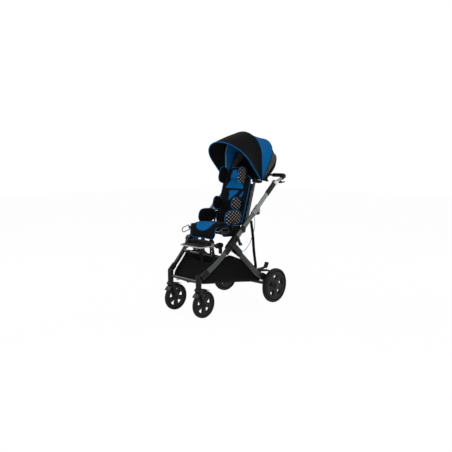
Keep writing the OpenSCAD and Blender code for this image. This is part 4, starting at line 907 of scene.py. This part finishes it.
seatPad = {"place": "seat", "facing": "flat", "at": (0, -0.143, 0.0463), "size": (0.312, 0.390, 0.058),
           "square": 6.5, "draw": 0.015, "edge": 0.40,
           "roll": {"from": -0.024, "radius": 0.059, "thin": 0.45},
           "shield": [(0, .098), (.030, .096), (.055, .085), (.074, .066), (.088, .040), (.092, .014),
                      (.075, -.020), (.050, -.050), (.024, -.078), (0, -.095)], "underFrom": -0.190}
hipPad = {"place": "seat", "facing": "sideways", "at": (0.1539, -0.022, 0.123), "size": (0.203, 0.126, 0.028),
          "square": 2.7, "draw": 0.02, "edge": 0.40, "lean": 0.12, "meshFrom": 0.004}
backPad = {"place": "back", "facing": "upright", "at": (0, 0.0067, 0.256), "size": (0.338, 0.462, 0.036),
           "square": 6, "draw": 0.02, "edge": 0.25,
           "insets": [[(-.100, .352), (.100, .352), (.096, .372), (.070, .420), (.052, .480), (-.052, .480),
                       (-.070, .420), (-.096, .372)],
                      [(-.045, .336), (.050, .338), (.024, .301), (0, .286), (-.018, .267), (-.036, .250),
                       (-.046, .262), (-.049, .304)],
                      [(.113, .333), (.090, .311), (.072, .291), (.078, .282), (.101, .283), (.110, .308)]],
           "bolster": 0.122, "headSeam": 0.344, "hollow": 0.07, "frontTo": 0.004, "meshFrom": (0.158, -0.006)}
trunkPad = {"place": "back", "facing": "sideways", "at": (0.108, -0.0671, 0.208),
            "size": (0.118, 0.112, 0.028), "square": 2.6, "draw": 0.02, "edge": 0.40, "meshFrom": 0.004}
headPad = {"place": "back", "facing": "upright", "at": (0, -0.0303, 0.480), "size": (0.196, 0.110, 0.026),
           "square": 4, "draw": 0.03, "taper": -0.08, "edge": 0.35,
           "inset": [(-.022, .508), (.022, .508), (.046, .420), (-.046, .420)], "insetTo": 0.014}
headSide = {"place": "back", "facing": "sideways", "at": (0.1096, -0.0685, 0.455),
            "size": (0.109, 0.146, 0.026), "square": 2.5, "draw": 0.02, "edge": 0.40,
            "meshFrom": 0.004, "meshTo": -0.030}


def bothSides(pad):
    return [pad, {**pad, "at": (-pad["at"][0], pad["at"][1], pad["at"][2])}]


def addSidePads(kind, pad, body, count, stitchAt=0.009):
    # a pair of pads: spacer mesh outside, plain cloth inside, stitched beside the edge and piped round it
    pair = bothSides(pad)
    piece = addPad(kind + "PadCovers", pair, kind + "_pads", "padCloth", voxel=0.004, cap=0.004)
    keepDistance(piece, "dots", np.abs(localOf(piece, pad)[:, 0]) - pad["at"][0] - pad["meshFrom"])
    finishPad(piece, body)
    lines = [rimPath(one, count, height) for height in (-stitchAt, stitchAt) for one in pair]
    addStitches(kind + "PadStitching", [onSurface(piece, line, stitchProud) for line in lines], body)
    addPiping(kind + "PadPiping", piece, [rimPath(one) for one in pair], body)


# seat: rolled over its front, with a blue shield drawn on the flat cover and piping round the edge
seat = addPad("seatCover", [seatPad], "seat_cushion", "coverCloth", voxel=0.005, cap=0.006)
shield = smoothPath(seatPad["shield"], 80)
shield = np.concatenate([shield, shield[::-1] * np.array([-1.0, 1.0])])
blue = insideDistance(unrolled(pointsOf(seat.data), seatPad), shield)
local = localOf(seat, seatPad)
underside = (local[:, 2] < seatPad["at"][2]) & (local[:, 1] > seatPad["underFrom"])
blue = np.where(underside, -0.02, blue)
keepDistance(seat, "accent", blue)
pressSeam(seat, blue, depth=0.0016, spread=0.005)
finishPad(seat, "seat")
addPiping("seatPiping", seat, [rimPath(seatPad, 260, height=0.015)], "seat")
line = stacked(shield[:, 0], seatPad["roll"]["from"] - shield[:, 1], seatPad["size"][2] / 2)
addStitches("seatStitching", [even(onSurface(seat, padPlace(seatPad, line), stitchProud), True)], "seat")

# side skirts: black cloth from the seat's side seam down over the rails
# gussets: cloth from the seat to the back
skirt = {"from": -0.196, "to": 0.064, "top": 0.056, "bottom": -0.002, "x": (0.1560, 0.1678), "thick": 0.0016,
         "ripple": 0.0008, "ripples": 7}
gusset = {"x": 0.151, "seatEdge": (0.062, 0.032, 0.158), "backEdge": (-0.006, 0.020, 0.146), "dish": 0.004}


def skirtShape(k, sign, rows=16, columns=60):
    # the cloth leaves the seam, bells out as a quarter sine and hangs straight, with a sine ripple at its hem
    v, t = shares(rows, columns)
    out = np.sin(np.clip(v * 2.2, 0, 1) * math.pi / 2)
    x = k["x"][0] + (k["x"][1] - k["x"][0]) * out + k["ripple"] * v * np.sin(2 * math.pi * t * k["ripples"])
    y = k["from"] + (k["to"] - k["from"]) * t
    z = k["top"] + (k["bottom"] - k["top"]) * v
    return toRow(stacked(sign * x, y, z), places["seat"])


def gussetShape(g, sign, rows=24, columns=10):
    # straight lines from an edge beside the hip pad to an edge on the back, dished inwards as a parabola
    t = np.linspace(0, 1, rows)
    edges = []
    for frameName, (y, low, high) in (("seat", g["seatEdge"]), ("back", g["backEdge"])):
        line = stacked(sign * g["x"], y, low + (high - low) * t)
        edges.append(toRow(line, places[frameName])[:, None])
    v = np.linspace(0, 1, columns)[None, :, None]
    points = edges[0] + (edges[1] - edges[0]) * v
    points[..., 0] -= sign * g["dish"] * 4 * v[..., 0] * (1 - v[..., 0])
    return points


def addSheet(name, points, thick):
    # a cloth grid with its wall thickness
    made = addCloth(name, points, thick, "blackCloth")
    return made


for side, sign in (("Left", 1), ("Right", -1)):
    cloth = addSheet("seatSkirt" + side, skirtShape(skirt, sign), skirt["thick"])
    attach(cloth, "seat")
    panel = gussetShape(gusset, sign)
    cloth = addSheet("seatGusset" + side, panel, skirt["thick"])
    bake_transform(cloth)

addSidePads("hip", hipPad, "seat", 160)

# back: blue insets crossed by a black band, a seam below the head, side bolsters, mesh down the boxed sides
back = addPad("backCover", [backPad], "back_cushion", "backCloth", voxel=0.005, cap=0.006)
local = localOf(back, backPad)
side, behind, high = np.abs(local[:, 0]), local[:, 1], local[:, 2]
frontFace = behind < backPad["frontTo"]
outlines = [np.array(backPad["insets"][0]), *[smoothPath(inset, 80, True) for inset in backPad["insets"][1:]]]
blue = np.max([insideDistance(local[:, [0, 2]], outline) for outline in outlines], axis=0)
blue = np.minimum(blue, -behind)
keepDistance(back, "accent", blue)
keepDistance(back, "dots", np.minimum(side - backPad["meshFrom"][0], behind - backPad["meshFrom"][1]))
pressSeam(back, blue, depth=0.0014, spread=0.005)
pressSeam(back, np.where(frontFace, side - backPad["bolster"], 1), depth=0.007, spread=0.009)
pressSeam(back, np.where(frontFace, high - backPad["headSeam"], 1), depth=0.005, spread=0.006)
pressSeam(back, np.where(frontFace, np.clip(side - backPad["hollow"], 0, 1), 1), depth=0.006, spread=0.030)
finishPad(back, "backrest")
addPiping("backPiping", back, [rimPath(backPad, 260, height=0.012)], "backrest")
lines = []
for k, inset in enumerate(backPad["insets"]):
    flat = smoothPath(inset, 90, True) if k else np.array(inset + inset[:1])
    line = toRow(stacked(flat[:, 0], -0.02, flat[:, 1]), places["back"])
    lines.append(onSurface(back, line, stitchProud))
addStitches("backStitching", lines, "backrest")

addSidePads("trunk", trunkPad, "backrest", 120)

# headrest: a centre pad with a blue wedge and two side wings
wings = bothSides(headSide)
head = addPad("headrestCovers", [headPad, *wings], "headrest_pads", "headCloth", voxel=0.004, cap=0.004)
local = localOf(head, headPad)
wing = np.abs(local[:, 0]) - headSide["at"][0]
blue = insideDistance(local[:, [0, 2]], headPad["inset"])
blue = np.minimum(np.minimum(blue, -local[:, 1]), -wing - headPad["insetTo"])
keepDistance(head, "accent", blue)
keepDistance(head, "dots", np.minimum(wing - headSide["meshFrom"], headSide["meshTo"] - local[:, 1]))
pressSeam(head, blue, depth=0.0014, spread=0.005)
finishPad(head, "headrest")
addPiping("headrestPiping", head, [rimPath(pad, 150, first=62, last=300) for pad in wings], "headrest", False)
addPiping("headrestTopPiping", head, [rimPath(headPad, 90, first=25, last=155)], "headrest", False)
print("padded covers made")


# hood: three cloth panels stretched between bows that fan about one pivot
hood = {
    "pivot": (0.223731, 1.049589), "half": 0.215, "hem": 0.014, "thick": 0.0016,
    "leans": (-43.0, -2.0, 31.0, 50.0), "reaches": (0.452, 0.425, 0.436, 0.408),  # degrees and metres per bow
    "sags": (0.021, 0.024, 0.010), "across": 28, "along": 110, "blendAt": 0.12,
    "pucker": 0.0016, "puckers": 19, "stitchProud": 0.0022,
    "panels": [  # bow in front, finish, slot, body behind
        ("front", "hoodBlack", "black_fabric", "canopy_middle"),
        ("middle", "hoodBlue", "blue_fabric", "canopy_rear"),
        ("rear", "hoodMesh", "mesh_fabric", "backrest"),
    ],
    "meshTo": 0.90,  # share of the rear panel that is spacer mesh
    "curtainHem": (0.2865, 1.0510), "curtainDeep": 0.058, "curtainLift": 0.012, "curtainBulge": 0.026,
    "curtainRipple": 0.008, "hemCord": 0.007,
}


def bowLine(lean, reach, t):
    # straight legs and a half circle on top, in a plane that leans from upright; t runs from foot to foot
    half, hem = hood["half"], hood["hem"]
    leg = reach - half - hem
    s = t * (2 * leg + math.pi * half)
    a = np.clip((s - leg) / half, 0, math.pi)
    up = np.minimum(s, 2 * leg + math.pi * half - s).clip(0, leg) + hem + half * np.sin(a)
    y, z = hood["pivot"][0] + up * np.sin(lean), hood["pivot"][1] + up * np.cos(lean)
    return stacked(half * np.cos(a), y, z)


def hoodPanel(k):
    # lean and reach go evenly from bow to bow, and the cloth sags between them as a parabola
    # small sine puckers run across it near its feet
    v, t = shares(hood["across"], hood["along"])
    lean = np.radians(hood["leans"][k] + (hood["leans"][k + 1] - hood["leans"][k]) * v)
    sag = hood["sags"][k] * 4 * v * (1 - v)
    pull = hood["pucker"] * np.sin(2 * math.pi * t * hood["puckers"] + 5 * v)
    pull = pull * (4 * v * (1 - v)) * (1 - np.sin(math.pi * t)) ** 2
    reach = hood["reaches"][k] + (hood["reaches"][k + 1] - hood["reaches"][k]) * v - sag
    points = bowLine(lean, reach, t)
    points[..., 0] *= 1 - (sag * .5 + pull) / hood["half"]
    whole = 2 * (hood["reaches"][k] - hood["half"] - hood["hem"]) + math.pi * hood["half"]
    deep = math.radians(hood["leans"][k + 1] - hood["leans"][k]) * hood["reaches"][k]
    return points, stacked(t * whole, v * deep), (whole, deep)


for k, (bow, look, slot, behind) in enumerate(hood["panels"]):
    name, ahead = f"hood{bow.title()}Panel", "canopy_" + bow
    points, uv, flat = hoodPanel(k)
    proud = (points - np.array([0, *hood["pivot"]])) * hood["stitchProud"] / hood["reaches"][k] + points
    addStitches(name + "FrontStitching", [proud[1]], ahead)
    if bow != "rear":
        addStitches(name + "RearStitching", [proud[-2]], behind)
    panel = addMesh(name, (points, gridFaces(*points.shape[:2])), look, None, ahead + "_panel", uv)
    if bow == "rear":
        keepDistance(panel, "dots", hood["meshTo"] * flat[1] - uv[..., 1].ravel())
    thickened(panel, hood["thick"])
    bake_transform(panel)


def hoodCurtain():
    # from the rear bow's line down to a level hem of superellipse plan; between them a sine bulges it to the
    # rear above and hollows it below, clear of the handle when the back reclines
    v, t = shares(hood["across"], hood["along"])
    top = bowLine(math.radians(hood["leans"][3]), hood["reaches"][3], t)
    c, s = np.cos(math.pi * t), np.sin(math.pi * t)
    hem = stacked(hood["half"] * signedPower(c, 0.6), hood["curtainHem"][0] + hood["curtainDeep"] * s ** 0.6,
                  hood["curtainHem"][1] + hood["curtainLift"] * s)
    points = top + (hem - top) * v[..., None]
    ripple = hood["curtainRipple"] * v ** 2 * (1 - v) * np.sin(30 * math.pi * t)
    points[..., 1] += (hood["curtainBulge"] * np.sin(2 * math.pi * v) + ripple) * np.sqrt(s)
    return points


points = hoodCurtain()
curtainArea = gridArea(points)
curtainDrop = lengthOf(points[:, hood["along"] // 2])
curtainWide = curtainArea / curtainDrop
v, t = shares(*points.shape[:2])
span = stacked(t * curtainWide, v * curtainDrop)
curtain = addCloth("hoodRearCurtain", points, hood["thick"], "hoodBlack", "backrest", uv=span)

hoodTrims = [  # piece, bow, body, finish, slot, radius
    ("hoodFrontPiping", 0, "canopy_front", "blueCloth", "blue_fabric", 0.0040),
    ("hoodMiddleSeam", 1, "canopy_middle", "blackCloth", "black_fabric", 0.0026),
    ("hoodRearSeam", 2, "canopy_rear", "blackCloth", "black_fabric", 0.0026),
    ("hoodCurtainSeam", 3, "backrest", "blackCloth", "black_fabric", 0.0026),
]
for name, k, body, look, slot, radius in hoodTrims:
    lean = math.radians(hood["leans"][k])
    path = bowLine(lean, hood["reaches"][k], np.linspace(0, 1, 120))
    upright = (0, math.cos(lean), -math.sin(lean))
    addMesh(name, sweep(path, ovalSection(2 * radius, 2 * radius, 10), False, upright), look, body)
hemCord = sweep(points[-1], ovalSection(hood["hemCord"], hood["hemCord"], 10))
addMesh("hoodCurtainHem", hemCord, "blackCloth", "backrest")
print("hood made")


# basket: a U section, square in its corners, lofted from the front hem over the floor to the rear hem
basket = {
    "half": 0.204, "square": 6.0, "sag": 0.010, "bulge": 0.007, "thick": 0.0022,
    "floor": [(-.275346, .4564), (-.362, .370), (-.444, .290), (-.405, .268), (-.250, .246), (0.0, .212),
              (.210, .178), (.236, .182), (.239954, .232)],
    "edge": [(-.275346, .4564), (-.240, .4585), (-.205, .4602), (-.160, .462), (-.060, .424), (.049954, .383),
             (.150, .309), (.205, .262), (.239954, .232)],
    "rows": 90, "columns": 81, "dip": 0.056, "dipTo": 0.22, "ripple": 0.0022, "ripples": 17,
    "hemBand": (0.0050, 0.014),
    "loopBand": (0.0360, 0.0016), "loopGap": 0.0018, "loopsAt": (-0.150, 0.0, 0.150),
    "tube": (-0.281296, 0.4714), "tubeRadius": 0.012, "loopFoot": (-0.2775, 0.4480), "cut": (0.86, 0.95),
}


def basketShape(b):
    # each row hangs from its edge to its floor along the sine branch of a superellipse; the floor sags
    # the first rows follow the front hem, which dips as a parabola in the middle
    floorLine = smoothPath(b["floor"], b["rows"])[:, None]
    edgeLine = smoothPath(b["edge"], b["rows"])[:, None]
    a = np.linspace(0, math.pi, b["columns"])[None, :]
    power = 2 / b["square"]
    across = signedPower(np.cos(a), power)
    drop = np.sin(a) ** power
    v = np.linspace(0, 1, b["rows"])[:, None]
    yz = edgeLine + (floorLine - edgeLine) * drop[..., None]
    flat = 1 - across ** 2
    yz[..., 1] -= b["sag"] * flat * np.sin(math.pi * v) * (1 + 0.25 * np.sin(9 * across + 3 * v))
    yz[..., 1] -= b["dip"] * flat * np.clip(1 - v / b["dipTo"], 0, None) ** 2
    ripple = b["ripple"] * np.sin(2 * math.pi * v * b["ripples"]) * (1 - drop) * np.sin(math.pi * v)
    wide = b["half"] + b["bulge"] * np.sin(math.pi * drop) * np.sin(math.pi * v)
    x = across * wide + np.sign(across) * ripple
    return np.concatenate([x[..., None], yz], -1), edgeLine[:, 0]


points, hemLine = basketShape(basket)
shell = addCloth("basketShell", points, basket["thick"], "basketCloth", "chassis",
                 "storage_basket")

hems = []
for sign in (1, -1):
    line = stacked(sign * (basket["half"] - .0005), *hemLine.T)
    hems.append(sweep(line, ovalSection(*basket["hemBand"], 14, 3.0), False, (0, 0.5, 1)))
addMesh("basketHem", joined(*hems), "webbing", "chassis")

loops = []
ringTurn = np.linspace(math.radians(-62), math.radians(262), 40)
radius = basket["tubeRadius"] + basket["loopGap"]
tubeY, tubeZ = basket["tube"]
for x in basket["loopsAt"]:
    low = basket["dip"] * (1 - (x / basket["half"]) ** 2)
    ring = stacked(x, tubeY + radius * np.cos(ringTurn), tubeZ + radius * np.sin(ringTurn))
    foot = np.array([[x, basket["loopFoot"][0], basket["loopFoot"][1] - low]])
    path = smoothPath(np.concatenate([foot, ring, foot + [[0, .0035, 0]]]), 90)
    outward = stacked(0, np.gradient(path[:, 2]), -np.gradient(path[:, 1]))
    loops.append(sweep(path, ovalSection(*basket["loopBand"], 16, 6.0), False, outward))
addMesh("basketLoops", joined(*loops), "webbing", "chassis")
print("basket made")


# limit straps: flat webbing from the side tube to a slide buckle on the rear leg
limitStrap = {"side": 0.247, "top": (0.046954, 0.738), "foot": (0.109954, 0.352), "wide": 0.030,
              "thick": 0.0020, "bow": 0.004, "buckle": (0.1072, 0.3383), "buckleSize": (0.034, 0.008),
              "buckleRun": (0.016, -0.012), "buckleSwell": (.8, .97, 1, 1, .97, .85)}


def strapLine(sign, count=60):
    # a straight run with a slight S, one sine faded to nothing at both ends by another
    t = np.linspace(0, 1, count)[:, None]
    yz = np.array(limitStrap["top"]) * (1 - t) + np.array(limitStrap["foot"]) * t
    yz[:, :1] += limitStrap["bow"] * np.sin(math.pi * t) * np.sin(2 * math.pi * t)
    return stacked(sign * limitStrap["side"], *yz.T)


straps, buckles = [], []
for sign in (1, -1):
    section = ovalSection(limitStrap["wide"], limitStrap["thick"], 16, 7.0)
    straps.append(sweep(strapLine(sign), section, False, (0, 1, 0.16)))
    y, z = limitStrap["buckle"]
    swell = limitStrap["buckleSwell"]
    path = stacked(sign * limitStrap["side"], y, z + np.linspace(*limitStrap["buckleRun"], len(swell)))
    buckles.append(sweep(path, ovalSection(*limitStrap["buckleSize"], 24, 5.0), False, (0, 1, 0), swell))
strap = addMesh("limitStraps", joined(*straps), "webbing", node="limit_straps")
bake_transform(strap)
addMesh("strapBuckles", joined(*buckles), "blackNylon", "rear_frame")

# tilt cable: a sheathed cable clipped from the handle side down to the seat
cableRoute = [(.2356, .095954, .778), (.229, .115954, .720), (.222, .119954, .660), (.216, .099954, .600),
              (.212, .071954, .541), (.210, .023954, .496), (.208, -.036046, .478), (.207, -.106046, .482),
              (.208, -.179746, .5162)]
cableThick = 0.005
sheath = sweep(smoothPath(cableRoute, 120), ovalSection(cableThick, cableThick, 12), False, (1, .2, .1))
addMesh("tiltCable", sheath, "greySheath", "chassis", "tilt_cable")
print("straps and cable made")
